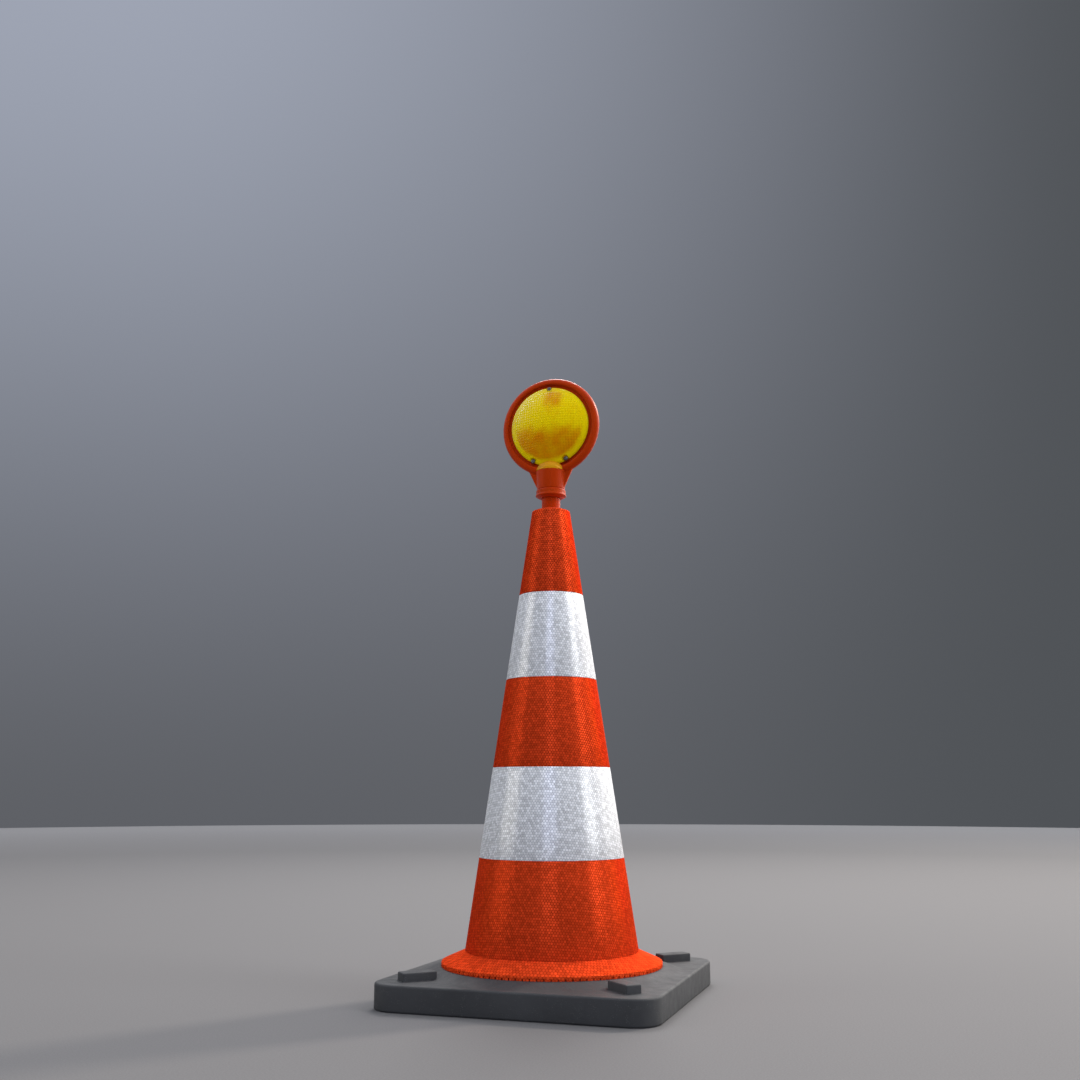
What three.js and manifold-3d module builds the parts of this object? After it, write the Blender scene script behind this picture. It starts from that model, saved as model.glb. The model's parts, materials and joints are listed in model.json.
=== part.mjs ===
// A barricade warning light plugged into the top of a reflective traffic cone on a weighted base.
// Millimetres. The origin is on the ground under the centre of the base, +Z is up, and the lamp's front lens
// faces -Y. In the lamp head, "forward" is the distance from the head's middle plane towards the lens.
import * as THREE from "three";
import { mergeVertices } from "three/addons/utils/BufferGeometryUtils.js";
import Module from "manifold-3d";

const wasm = await Module();
wasm.setup();

// ---- Driving dimensions ----

// Cone shell
const coneHeight = 753.5; // ground to the top rim
const coneTopRadius = 31;
const coneFootRadius = 132.5; // where the wall meets the flange
const coneFootHeight = 66.5;
const coneWall = 4;
const throatRadius = 24; // straight bore inside the top of the cone
const throatDepth = 35;
const flangeRadius = 168;
const flangeRimHeight = 6.5;

// Reflective film bands on the cone's wall
const bandCount = 5;
const filmThickness = 0.7;
const filmSeat = 0.9; // depth of the seat that the film lies in
const filmGap = 0.3;
const topLip = 3.5; // bare rim above the highest band

// Base slab
const baseWidth = 420;
const baseHeight = 37;
const baseCornerRadius = 40;
const baseBevel = 2;
const nestingHoleRadius = 124; // lets the next cone nest through the base
const plinthRadius = 172; // flat top that the cone's flange lies on
const plinthFootRadius = 200;
const plinthHeight = 8;
const lugLength = 52;
const lugWidth = 24;
const lugHeight = 12;
const lugDistance = 218; // cone axis to the middle of a stacking lug
const underRecess = 4;
const groundRim = 24; // width of the rim that rests on the ground
const baseScrewDistance = 140;

// Lamp head
const lampAxisHeight = 899; // ground to the centre of the lenses
const ringOuterRadius = 84;
const ringInnerRadius = 73;
const ringHalfDepth = 8;
const shelfInnerRadius = 61; // the shelf inside the ring carries both lenses
const shelfHalfDepth = 2;
const lensRadius = 67.2;
const lensWall = 2.5;
const lensSeat = 4.65; // forward distance of the lens's back edge
const lensSkirtTop = 5.2;
const lensShoulderRadius = 5;
const lensApex = 26;
const lensBoltRadius = 64.6;
const lensBoltAngles = [90, -64, -116].map(THREE.MathUtils.degToRad);
const postTopRadius = 24.4;
const postFootRadius = 22.8;
const postCavityRadius = 20.5;
const postTop = -77; // below the lens centre, in the head's own frame
const postBottom = -109;
const webTop = -75;
const webTopHalfWidth = 37.5;
const webBottomHalfWidth = 23.4;
const webHalfDepth = 3;
const windowHeight = 18;
const windowWall = 2.5;
const switchHeight = -94;

// Battery stem
const tubeRadius = 15.2;
const tubeBore = 14;
const tubeTop = 784;
const tubeBottom = 604;
const tubeFlangeRadius = 19.5;
const tubeFlangeHeight = 3.6;
const collarRadius = 24.3;
const collarLipRadius = 25.2;
const collarBottom = 775.6;
const cellRadius = 13.1;
const cellLength = 50;
const cellCount = 3;
const bayonetPin = { radius: 1.1, reach: 15, height: 3 }; // reach from the axis, height above the tube's foot
const springWire = 0.6;
const springTurns = 4;

const clearance = 0.3; // between pieces that are made to fit each other
const roundSides = 36; // facets of a large turned piece
const stemSides = 24; // facets of a turned piece of the stem and post
const smallSides = 12; // facets of a small turned piece

// ---- Materials ----

const matte = (color, roughness, metalness = 0) =>
  new THREE.MeshStandardMaterial({ color, roughness, metalness });
const clear = (color, opacity) =>
  new THREE.MeshStandardMaterial({ color, roughness: 0.15, transparent: true, opacity });

const orangePlastic = matte(0xd8400f, 0.45);
const orangeFilm = matte(0xdc3c12, 0.35);
const whiteFilm = matte(0xe9edf4, 0.3);
const orangeRubber = matte(0xc63c12, 0.7);
const darkRubber = matte(0x47484a, 0.85);
const blackPlastic = matte(0x1c1c1e, 0.5);
const amberLens = clear(0xf2d21a, 0.8);
const amberWindow = clear(0xf0a024, 0.85);
const yellowPlastic = matte(0xf0c020, 0.4);
const steel = matte(0xb9bcc0, 0.3, 1);
const brass = matte(0xc9a24a, 0.3, 1);
const circuitGreen = matte(0x1d5a34, 0.5);
const cellLabel = matte(0x3d4148, 0.35, 0.4);
const sealRubber = matte(0x202122, 0.9);

// ---- Geometry helpers ----

// A closed geometry as a manifold-3d solid, turned outwards if its faces point in.
function solid(geometry) {
  const bare = new THREE.BufferGeometry();
  const source = geometry.index ? geometry.toNonIndexed() : geometry;
  bare.setAttribute("position", source.getAttribute("position").clone());
  const merged = mergeVertices(bare, 1e-4);
  const corners = Array.from(merged.index.array);
  const triangles = [];
  for (let i = 0; i < corners.length; i += 3) {
    const [a, b, c] = corners.slice(i, i + 3);
    if (a !== b && b !== c && a !== c) triangles.push(a, b, c);
  }
  const vertProperties = merged.attributes.position.array;
  const made = (order) =>
    new wasm.Manifold(new wasm.Mesh({ numProp: 3, vertProperties, triVerts: new Uint32Array(order) }));
  const first = made(triangles);
  return first.volume() > 0 ? first : made(triangles.reverse());
}

function geometryOf(manifold) {
  const mesh = manifold.getMesh();
  const geometry = new THREE.BufferGeometry();
  geometry.setAttribute("position", new THREE.BufferAttribute(Float32Array.from(mesh.vertProperties), 3));
  geometry.setIndex(new THREE.BufferAttribute(Uint32Array.from(mesh.triVerts), 1));
  geometry.computeVertexNormals();
  return geometry;
}

const join = (first, ...others) => others.reduce((whole, piece) => whole.add(piece), first);
const cut = (first, ...tools) => tools.reduce((whole, tool) => whole.subtract(tool), first);

// A profile of [radius, height] pairs turned about the vertical axis.
function turned(profile, sides = roundSides) {
  const points = profile.map(([radius, height]) => new THREE.Vector2(radius, height));
  const last = points[points.length - 1];
  if (points[0].x > 0 || last.x > 0) points.push(points[0].clone());
  return solid(new THREE.LatheGeometry(points, sides).rotateX(Math.PI / 2));
}

// A profile of [radius, forward] pairs turned about the lamp's lens axis: side -1 is the front, 1 the rear.
function turnedForward(profile, side, sides = roundSides) {
  return turned(profile, sides).rotate([side < 0 ? 90 : -90, 0, 0]);
}

// A ring or disc of rectangular section, about the vertical axis.
function washer(inner, outer, low, high, sides = roundSides) {
  if (inner === 0) return turned([[0, low], [outer, low], [outer, high], [0, high]], sides);
  return turned([[inner, low], [outer, low], [outer, high], [inner, high]], sides);
}

const rod = (radius, low, high, x = 0, y = 0, sides = smallSides) =>
  washer(0, radius, low, high, sides).translate([x, y, 0]);

// A rod along the lamp's lens axis, from one forward distance to another.
const crossRod = (radius, from, to, x, z, side = -1, sides = smallSides) =>
  turnedForward([[0, from], [radius, from], [radius, to], [0, to]], side, sides).translate([x, 0, z]);

const block = (low, high) => {
  const size = high.map((value, i) => value - low[i]);
  const middle = high.map((value, i) => (value + low[i]) / 2);
  return solid(new THREE.BoxGeometry(...size)).translate(middle);
};

function roundedSquare(width, radius) {
  const half = width / 2;
  const inner = half - radius;
  const shape = new THREE.Shape();
  shape.absarc(inner, inner, radius, 0, Math.PI / 2);
  shape.absarc(-inner, inner, radius, Math.PI / 2, Math.PI);
  shape.absarc(-inner, -inner, radius, Math.PI, 1.5 * Math.PI);
  shape.absarc(inner, -inner, radius, 1.5 * Math.PI, 2 * Math.PI);
  shape.closePath();
  return shape;
}

const extruded = (outline, depth) =>
  solid(new THREE.ExtrudeGeometry(outline, { depth, bevelEnabled: false, curveSegments: 3 }));

// Points of a circular arc in a [radius, height] profile, angles in degrees.
function arc(centre, radius, from, to, steps) {
  return Array.from({ length: steps + 1 }, (_, i) => {
    const angle = THREE.MathUtils.degToRad(from + ((to - from) * i) / steps);
    return [centre[0] + radius * Math.cos(angle), centre[1] + radius * Math.sin(angle)];
  });
}

// Places round the cone's axis, starting at a given angle in degrees.
const aroundAxis = (count, start, distance) =>
  Array.from({ length: count }, (_, i) => {
    const angle = THREE.MathUtils.degToRad(start + (360 * i) / count);
    return [distance * Math.cos(angle), distance * Math.sin(angle)];
  });

// A round wire along a curve through points, closed at both ends.
function wireAlong(points, radius, steps) {
  const section = new THREE.Shape().absarc(0, 0, radius, 0, 2 * Math.PI);
  const extrudePath = new THREE.CatmullRomCurve3(points.map((p) => new THREE.Vector3(...p)));
  return new THREE.ExtrudeGeometry(section, { extrudePath, steps, curveSegments: 3 });
}

function addTo(group, name, shape, material) {
  const geometry = shape.isBufferGeometry ? shape : geometryOf(shape);
  const mesh = new THREE.Mesh(geometry, material);
  mesh.name = name;
  group.add(mesh);
  return mesh;
}

// ---- Stand: weighted base, cone shell and its reflective bands ----

const wallRadius = (height) =>
  coneTopRadius +
  ((coneFootRadius - coneTopRadius) * (coneHeight - height)) / (coneHeight - coneFootHeight);

const flangeBottom = baseHeight + plinthHeight;
const baseScrewPlaces = aroundAxis(4, 0, baseScrewDistance);
const baseScrewHead = { radius: 6, low: 6.5, high: 10 };
const baseScrewShank = { radius: 2.5, high: 55 };

function baseSlab() {
  const outline = roundedSquare(baseWidth - 2 * baseBevel, baseCornerRadius - baseBevel);
  const slab = solid(
    new THREE.ExtrudeGeometry(outline, {
      depth: baseHeight - 2 * baseBevel,
      bevelThickness: baseBevel,
      bevelSize: baseBevel,
      bevelSegments: 1,
      curveSegments: 4,
    }),
  ).translate([0, 0, baseBevel]);
  const plinth = turned([
    [0, baseHeight - 1],
    [plinthFootRadius, baseHeight - 1],
    [plinthFootRadius, baseHeight],
    [plinthRadius, flangeBottom],
    [0, flangeBottom],
  ]);
  const lug = block(
    [lugDistance - lugLength / 2, -lugWidth / 2, baseHeight - 1],
    [lugDistance + lugLength / 2, lugWidth / 2, baseHeight + lugHeight],
  );
  const lugs = [45, 135, 225, 315].map((angle) => lug.rotate([0, 0, angle]));
  const nestingHole = rod(nestingHoleRadius, -1, flangeBottom + 1, 0, 0, roundSides);
  const recessOutline = roundedSquare(baseWidth - 2 * groundRim, baseCornerRadius - groundRim / 2);
  const recess = extruded(recessOutline, underRecess + 1).translate([0, 0, -1]);
  const screwHoles = baseScrewPlaces.flatMap(([x, y]) => [
    rod(baseScrewHead.radius + 1, -1, baseScrewHead.high + clearance, x, y),
    rod(baseScrewShank.radius + clearance, 0, flangeBottom + 1, x, y),
  ]);
  return cut(join(slab, plinth, ...lugs), nestingHole, recess, ...screwHoles);
}

function baseScrew() {
  const { radius, low, high } = baseScrewHead;
  const shank = baseScrewShank;
  const tip = shank.high - 4;
  const profile = [[0, low], [radius - 1, low], [radius, low + 1], [radius, high], [shank.radius, high]];
  return turned([...profile, [shank.radius, tip], [0, shank.high]], smallSides);
}

function coneShell() {
  const seat = (height) => wallRadius(height) - filmSeat;
  const inside = (height) => wallRadius(height) - coneWall;
  const bandTop = coneHeight - topLip;
  const throatFoot = coneHeight - throatDepth;
  const flangeShoulder = flangeBottom + flangeRimHeight;
  const shell = turned([
    [throatRadius, coneHeight],
    [coneTopRadius - 1.5, coneHeight],
    [coneTopRadius, coneHeight - 1.5],
    [wallRadius(bandTop), bandTop],
    [seat(bandTop), bandTop],
    [seat(coneFootHeight), coneFootHeight],
    [coneFootRadius, coneFootHeight],
    [flangeRadius, flangeShoulder],
    [flangeRadius, flangeBottom],
    [inside(flangeBottom) - 2, flangeBottom],
    [inside(coneFootHeight), coneFootHeight],
    [inside(throatFoot - 8), throatFoot - 8],
    [throatRadius, throatFoot],
  ]);
  const screwHoles = baseScrewPlaces.map(([x, y]) =>
    rod(baseScrewShank.radius + clearance, flangeBottom - 1, baseScrewShank.high + clearance, x, y),
  );
  return cut(shell, ...screwHoles);
}

// The wall between the flange and the top lip is covered by equal bands of film.
function filmBand(index) {
  const pitch = (coneHeight - topLip - coneFootHeight) / bandCount;
  const low = coneFootHeight + pitch * index + filmGap;
  const high = coneFootHeight + pitch * (index + 1) - filmGap;
  return turned([
    [wallRadius(low), low],
    [wallRadius(high), high],
    [wallRadius(high) - filmThickness, high],
    [wallRadius(low) - filmThickness, low],
  ]);
}

const stand = new THREE.Group();
addTo(stand, "base_slab", baseSlab(), darkRubber);
addTo(stand, "cone_shell", coneShell(), orangePlastic);
["orange_band_low", "white_band_low", "orange_band_middle", "white_band_high", "orange_band_top"].forEach(
  (name, i) => addTo(stand, name, filmBand(i), name.startsWith("white") ? whiteFilm : orangeFilm),
);
baseScrewPlaces.forEach(([x, y], i) => {
  addTo(stand, `base_screw_${i + 1}`, baseScrew(), steel).position.set(x, y, 0);
});

// A rubber bush in the cone's throat, with a sloping lip, in which the lamp's tube turns.
const socketBush = turned([
  [tubeRadius + 0.5, coneHeight - throatDepth],
  [throatRadius - clearance, coneHeight - throatDepth],
  [throatRadius - clearance, coneHeight + clearance],
  [coneTopRadius - 1.7, coneHeight + clearance],
  [tubeRadius + 1.8, coneHeight + 4.4],
  [tubeRadius + 0.5, coneHeight + 4.4],
]);
addTo(stand, "socket_bush", socketBush, orangeRubber);

// ---- Lamp head, in a frame whose origin is the centre of the lenses ----

const head = new THREE.Group();
head.position.z = lampAxisHeight;
const lensBoltPlaces = lensBoltAngles.map((angle) => [
  lensBoltRadius * Math.cos(angle),
  lensBoltRadius * Math.sin(angle),
]);
const lensEar = { radius: 5.2, thickness: 2 };
const lensPocketRadius = 4.6;
const boltRadius = 1.9;
const earFace = lensSeat + lensEar.thickness;

// The lens's outer or inner face as [radius, forward] pairs, moved outwards by grow.
function lensProfile(grow, seat = lensSeat) {
  const shoulder = [lensRadius - lensShoulderRadius, lensSkirtTop];
  const skirt = arc(shoulder, lensShoulderRadius + grow, 0, 60, 2);
  const [rimRadius, rimForward] = skirt[skirt.length - 1];
  const sagitta = lensApex + grow - rimForward;
  const sphere = (rimRadius ** 2 + sagitta ** 2) / (2 * sagitta);
  const rimAngle = Math.asin(rimRadius / sphere);
  const steps = 3;
  const dome = Array.from({ length: steps }, (_, i) => {
    const angle = rimAngle * (1 - (i + 1) / steps);
    return [sphere * Math.sin(angle), lensApex + grow - sphere * (1 - Math.cos(angle))];
  });
  dome[steps - 1][0] = 0;
  return [[0, seat], [lensRadius + grow, seat], ...skirt, ...dome];
}

function lens(side) {
  const outside = turnedForward(lensProfile(0), side);
  const inside = turnedForward(lensProfile(-lensWall, lensSeat - 1), side);
  const at = (radius, from, to) =>
    lensBoltPlaces.map(([x, z]) => crossRod(radius, from, to, x, z, side, 10));
  const bosses = at(lensPocketRadius + lensWall / 2, lensSeat, lensApex).map((b) => b.intersect(outside));
  const ears = at(lensEar.radius, lensSeat, earFace);
  const shell = join(cut(outside, inside), ...bosses, ...ears);
  return cut(shell, ...at(lensPocketRadius, earFace, lensApex), ...at(boltRadius + clearance, 0, lensApex));
}

// The post's dome over the light sensor. It is solid unless hollowed.
function postDome(radius, height) {
  const steps = 4;
  const profile = Array.from({ length: steps + 1 }, (_, i) => {
    const angle = (Math.PI / 2) * (i / steps);
    return [i === steps ? 0 : radius * Math.cos(angle), height * Math.sin(angle)];
  });
  return turned([[0, 0], ...profile], stemSides);
}

// The room that a lens takes in front of the post, with the ring behind it.
function headRoom(side) {
  const ringRoom = crossRod(ringOuterRadius + 1, 0, ringHalfDepth + 0.5, 0, 0, side, roundSides);
  return join(turnedForward(lensProfile(0.5, 0), side), ringRoom);
}

// The space round the top of the post on one side of the head's middle plane.
function postSide(side) {
  const near = 3;
  const far = 40;
  const [low, high] = side < 0 ? [-far, -near] : [near, far];
  return block([-far, low, postTop - 16], [far, high, postTop + 34]);
}

function sensorWindow() {
  const radius = postTopRadius - 0.2;
  const outside = postDome(radius, windowHeight);
  const inside = postDome(radius - windowWall, windowHeight - windowWall).translate([0, 0, -0.5]);
  const shell = cut(outside, inside).translate([0, 0, postTop + clearance]);
  return cut(shell.intersect(postSide(-1)), headRoom(-1));
}

const sensorForward = 16.6;
const ledBoardHalf = { width: 12, thickness: 0.8 };
const driverBoardHeight = -104.1;
const switchBoss = { radius: 10.5, from: 14, to: 25.5 };

function lampHousing() {
  const bulge = ringHalfDepth; // the ring's outer side is a half round
  const edge = 1.5; // rounding of its inner edges
  const flat = ringHalfDepth - edge;
  const ring = turnedForward(
    [
      ...arc([ringOuterRadius - bulge, 0], bulge, 0, 90, 4),
      ...arc([ringInnerRadius + edge, flat], edge, 90, 180, 1),
      [ringInnerRadius, shelfHalfDepth],
      [shelfInnerRadius, shelfHalfDepth],
      [shelfInnerRadius, -shelfHalfDepth],
      [ringInnerRadius, -shelfHalfDepth],
      ...arc([ringInnerRadius + edge, -flat], edge, 180, 270, 1),
      ...arc([ringOuterRadius - bulge, 0], bulge, 270, 337.5, 3),
    ],
    -1,
  );
  const webOutline = new THREE.Shape([
    new THREE.Vector2(-webTopHalfWidth, webTop),
    new THREE.Vector2(-webBottomHalfWidth, postBottom + 4),
    new THREE.Vector2(webBottomHalfWidth, postBottom + 4),
    new THREE.Vector2(webTopHalfWidth, webTop),
  ]);
  const web = extruded(webOutline, 2 * webHalfDepth).rotate([90, 0, 0]).translate([0, webHalfDepth, 0]);
  const postProfile = [[0, postBottom], [postFootRadius, postBottom], [postTopRadius, postTop], [0, postTop]];
  const post = turned(postProfile, stemSides);
  const dome = postDome(postTopRadius, windowHeight).translate([0, 0, postTop - 0.01]);
  const rearDome = cut(dome.intersect(postSide(1)), headRoom(1));
  const spigot = rod(20, postBottom - 6, postBottom + 1, 0, 0, stemSides);
  const boss = crossRod(switchBoss.radius, switchBoss.from, switchBoss.to, 0, switchHeight, 1);

  const cavity = rod(postCavityRadius, driverBoardHeight, postTop - 3, 0, 0, stemSides);
  const cavityFoot = rod(16.5, postBottom, driverBoardHeight + 1, 0, 0, stemSides);
  const cableBore = rod(11, postBottom - 7, postBottom + 1);
  const boardWidth = ledBoardHalf.width + 1;
  const boardSlot = block([-boardWidth, -2.2, postTop - 4], [boardWidth, 2.2, -shelfInnerRadius + 3]);
  const sensorHole = rod(3.2, postTop - 4, postTop + 1, 0, -sensorForward);
  const switchHole = crossRod(6.6, 10, switchBoss.to + 1, 0, switchHeight, 1);
  const boltHoles = lensBoltPlaces.map(([x, z]) => crossRod(boltRadius + clearance, -20, 20, x, z));
  const earPockets = lensBoltPlaces.flatMap(([x, z]) =>
    [-1, 1].map((side) => crossRod(lensEar.radius + 0.6, shelfHalfDepth, 20, x, z, side, 10)),
  );
  const lensWells = [-1, 1].map((side) =>
    crossRod(ringInnerRadius, shelfHalfDepth, ringHalfDepth + 3, 0, 0, side, roundSides),
  );
  const body = join(cut(join(ring, web, post), ...lensWells), rearDome, spigot, boss);
  const hollows = [cavity, cavityFoot, cableBore, boardSlot, sensorHole, switchHole];
  return cut(body, ...hollows, ...boltHoles, ...earPockets);
}

addTo(head, "lamp_housing", lampHousing(), orangePlastic);
addTo(head, "sensor_window", sensorWindow(), amberWindow);

const seal = { inner: 61.2, outer: 67, from: 3.3, to: 4.5 };
const reflector = { outer: 66.5, face: 1, ledHole: 6.4 };

function lensSeal(side) {
  const ring = turnedForward(
    [[seal.inner, seal.from], [seal.outer, seal.from], [seal.outer, seal.to], [seal.inner, seal.to]],
    side,
  );
  const notches = lensBoltPlaces.map(([x, z]) => crossRod(boltRadius + 0.5, 0, 9, x, z, side, 8));
  return cut(ring, ...notches);
}

// A shallow dish behind each lens, held by its flat edge between the shelf and the lens's seal.
function dish(side) {
  const low = shelfHalfDepth + 0.15;
  const profile = [
    [reflector.ledHole, 1.1],
    [shelfInnerRadius - 8, low],
    [reflector.outer, low],
    [reflector.outer, low + reflector.face],
    [shelfInnerRadius - 8, low + reflector.face],
    [reflector.ledHole, 1.1 + reflector.face],
  ];
  const notches = lensBoltPlaces.map(([x, z]) => crossRod(boltRadius + 0.5, 0, 9, x, z, side, 8));
  return cut(turnedForward(profile, side), ...notches);
}

// A dome light-emitting diode standing off the board.
function diode(side) {
  const profile = [[0, 0.95], [5.4, 0.95], [5.4, 2.6], [4.8, 2.6], ...arc([0, 5], 4.8, 0, 90, 4)];
  profile[profile.length - 1][0] = 0;
  return turnedForward(profile, side, smallSides);
}

for (const [place, side] of [["front", -1], ["rear", 1]]) {
  addTo(head, `${place}_lens`, lens(side), amberLens);
  addTo(head, `${place}_lens_seal`, lensSeal(side), sealRubber);
  addTo(head, `${place}_reflector`, dish(side), yellowPlastic);
  addTo(head, `${place}_led`, diode(side), amberLens);
}

// Each through-bolt has its head on the front lens's ear and its nut on the rear lens's ear.
const nutThickness = 3.2;
function lensBolt() {
  const face = earFace + 0.15;
  const crown = face + 2.6;
  const tail = -(earFace + nutThickness + 1.4);
  const shank = [[0, tail], [boltRadius, tail], [boltRadius, face]];
  const boltHead = [[3.6, face], [3.6, crown - 1], [2.2, crown], [0, crown]];
  return turnedForward([...shank, ...boltHead], -1, smallSides);
}
function lensNut() {
  const from = earFace + 0.15;
  const to = from + nutThickness;
  const hexagon = turnedForward([[0, from], [3.9, from], [3.9, to], [0, to]], 1, 6);
  return cut(hexagon, crossRod(boltRadius + 0.2, from - 1, to + 1, 0, 0, 1));
}
["top", "right", "left"].forEach((place, i) => {
  const [x, z] = lensBoltPlaces[i];
  addTo(head, `lens_bolt_${place}`, lensBolt(), steel).position.set(x, 0, z);
  addTo(head, `lens_nut_${place}`, lensNut(), steel).position.set(x, 0, z);
});

// Electronics: a board lying on the ledge in the post, and a board for the diodes standing on it.
const boardFoot = driverBoardHeight + 0.2;
const boardTop = boardFoot + 1.6;
const driverBoard = rod(postCavityRadius - 0.5, boardFoot, boardTop, 0, 0, stemSides);
addTo(head, "driver_board", driverBoard, circuitGreen);
const { width: halfWidth, thickness: halfThickness } = ledBoardHalf;
addTo(
  head,
  "led_board",
  block([-halfWidth, -halfThickness, boardTop + 0.2], [halfWidth, halfThickness, 14]),
  circuitGreen,
);
addTo(head, "flasher_chip", block([-5, -13, boardTop + 0.1], [5, -6, boardTop + 2.6]), blackPlastic);
addTo(head, "timing_capacitor", rod(3.2, boardTop + 0.1, boardTop + 11, 13, -8), blackPlastic);
const sensorFoot = postTop - 4;
const sensorLead = rod(0.9, boardTop + 0.1, sensorFoot + 1, 0, 0, 8);
const sensor = join(sensorLead, rod(2.5, sensorFoot, postTop + 2.5));
addTo(head, "light_sensor", sensor, blackPlastic).position.y = -sensorForward;

// Push switch in the back of the post.
const switchFace = switchBoss.to;
const switchBack = 13;
const switchBody = block([-6, 5, switchHeight - 5], [6, switchBack, switchHeight + 6]);
addTo(head, "switch_body", switchBody, blackPlastic);
const bezelFoot = switchBack + 0.2;
const bezelSeat = switchFace + 0.15;
const bezelFace = bezelSeat + 2;
const bezelBore = 5.2;
const bezelProfile = [
  [bezelBore, bezelFoot],
  [6.2, bezelFoot],
  [6.2, bezelSeat],
  [9, bezelSeat],
  [8.2, bezelFace],
  [bezelBore, bezelFace],
];
const bezel = turnedForward(bezelProfile, 1, 16).translate([0, 0, switchHeight]);
addTo(head, "switch_bezel", bezel, blackPlastic);
const buttonTravel = 2;
const buttonRadius = bezelBore - clearance;
const buttonFoot = bezelFoot + buttonTravel;
const buttonFace = bezelFace + buttonTravel + 1;
const buttonProfile = [
  [0, buttonFoot],
  [buttonRadius, buttonFoot],
  [buttonRadius, buttonFace - 0.8],
  [buttonRadius - 0.9, buttonFace],
  [0, buttonFace],
];
const button = turnedForward(buttonProfile, 1, 16).translate([0, 0, switchHeight]);
addTo(head, "switch_button", button, sealRubber);

// ---- Battery stem, in the part's own frame ----

const stem = new THREE.Group();

const batteryTube = turned([
  [tubeBore, tubeBottom],
  [tubeRadius, tubeBottom],
  [tubeRadius, tubeTop - tubeFlangeHeight],
  [tubeFlangeRadius, tubeTop - tubeFlangeHeight],
  [tubeFlangeRadius, tubeTop - 0.5],
  [tubeBore, tubeTop - 0.5],
], stemSides);

// One of the two slots in the tube's foot that a pin of the battery cap enters from below and turns along.
function bayonetSlot() {
  const half = bayonetPin.radius + clearance;
  const low = tubeBottom + bayonetPin.height - half;
  const high = low + 2 * half;
  const quarter = washer(tubeBore - 1, tubeRadius + 1, low, high, stemSides);
  const turn = quarter.intersect(block([-half, -half, low - 1], [20, 20, high + 1]));
  return join(turn, block([-half, tubeBore - 1, tubeBottom - 1], [half, tubeRadius + 1, high]));
}
const bayonetSlots = [0, 180].map((angle) => bayonetSlot().rotate([0, 0, angle]));
addTo(stem, "battery_tube", cut(batteryTube, ...bayonetSlots), orangePlastic);
const headFoot = lampAxisHeight + postBottom;
const spigotFoot = headFoot - 6;
addTo(stem, "tube_seal", washer(15, 19, tubeTop - 0.35, spigotFoot - 0.15, stemSides), sealRubber);

// The collar screws up over the head's spigot and traps the tube's flange.
const collar = turned([
  [tubeRadius + 0.5, collarBottom],
  [tubeRadius + 3.3, collarBottom],
  [collarLipRadius, collarBottom + 3.6],
  [collarLipRadius, collarBottom + 5.2],
  [collarRadius, collarBottom + 6.4],
  [collarRadius, headFoot - 1.8],
  [postFootRadius + 0.4, headFoot - clearance],
  [20 + clearance, headFoot - clearance],
  [20 + clearance, tubeTop - tubeFlangeHeight - clearance],
  [tubeRadius + 0.5, tubeTop - tubeFlangeHeight - clearance],
], stemSides);
addTo(stem, "retaining_collar", collar, orangePlastic);

const contactHeight = tubeTop - 10;
const capPlug = { top: 10, radius: tubeBore - clearance, grooveFoot: 5.5, grooveTop: 7.5, grooveDepth: 0.9 };
const contactHolder = rod(13.2, contactHeight + 1.5, contactHeight + 4.5, 0, 0, stemSides);
addTo(stem, "contact_holder", contactHolder, blackPlastic);
addTo(stem, "positive_contact", rod(9, contactHeight, contactHeight + 1.3, 0, 0, stemSides), brass);
const cell = turned([
  [0, 0],
  [cellRadius, 0],
  [cellRadius, cellLength - 2],
  [cellRadius - 0.8, cellLength - 1.8],
  [4, cellLength - 1.8],
  [4, cellLength - 0.2],
  [0, cellLength - 0.2],
], stemSides);
for (let i = 0; i < cellCount; i++) {
  const foot = contactHeight - cellLength * (cellCount - i) - 0.1;
  addTo(stem, `battery_cell_${i + 1}`, cell, cellLabel).position.z = foot;
}
const stripInner = cellRadius + 0.2;
const stripFoot = tubeBottom + capPlug.top + 0.3;
const strip = block([stripInner, -2, stripFoot], [stripInner + 0.3, 2, contactHeight + 7]);
addTo(stem, "negative_strip", strip, brass);
const boardUnderside = lampAxisHeight + driverBoardHeight + 0.05;
addTo(
  stem,
  "positive_wire",
  wireAlong([[0, 4, contactHeight + 4.8], [0, 5, contactHeight + 11], [-2, 6, boardUnderside]], 0.9, 8),
  matte(0xb02020, 0.5),
);
addTo(
  stem,
  "negative_wire",
  wireAlong(
    [[stripInner - 2, 0, contactHeight + 5.4], [9.5, 0, contactHeight + 10], [8.6, 0, boardUnderside]],
    0.9,
    8,
  ),
  sealRubber,
);

// ---- Battery cap at the foot of the stem, held by a quarter turn ----

const cap = new THREE.Group();
cap.position.z = tubeBottom;

const { top: plugTop, radius: plugRadius, grooveFoot, grooveTop } = capPlug;
const grooveRadius = plugRadius - capPlug.grooveDepth;
const capBody = turned([
  [0, -7],
  [tubeRadius - 1, -7],
  [tubeRadius, -6],
  [tubeRadius, -0.2],
  [plugRadius, -0.2],
  [plugRadius, grooveFoot],
  [grooveRadius, grooveFoot],
  [grooveRadius, grooveTop],
  [plugRadius, grooveTop],
  [plugRadius, plugTop],
  [0, plugTop],
], stemSides);
const coinSlot = block([-11, -1.2, -8], [11, 1.2, -4]);
const { radius: pinRadius, reach, height: pinHeight } = bayonetPin;
const bayonetPins = rod(pinRadius, -reach, reach).rotate([0, 90, 0]).translate([0, 0, pinHeight]);
addTo(cap, "battery_cap", cut(join(capBody, bayonetPins), coinSlot), blackPlastic);
const sealCentre = [grooveRadius + 0.6, (grooveFoot + grooveTop) / 2];
addTo(cap, "cap_seal", turned(arc(sealCentre, 0.5, 0, 360, 6).slice(0, -1), stemSides), sealRubber);
addTo(cap, "cap_contact", rod(12.6, plugTop + 0.15, plugTop + 0.95, 0, 0, stemSides), brass);

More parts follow.
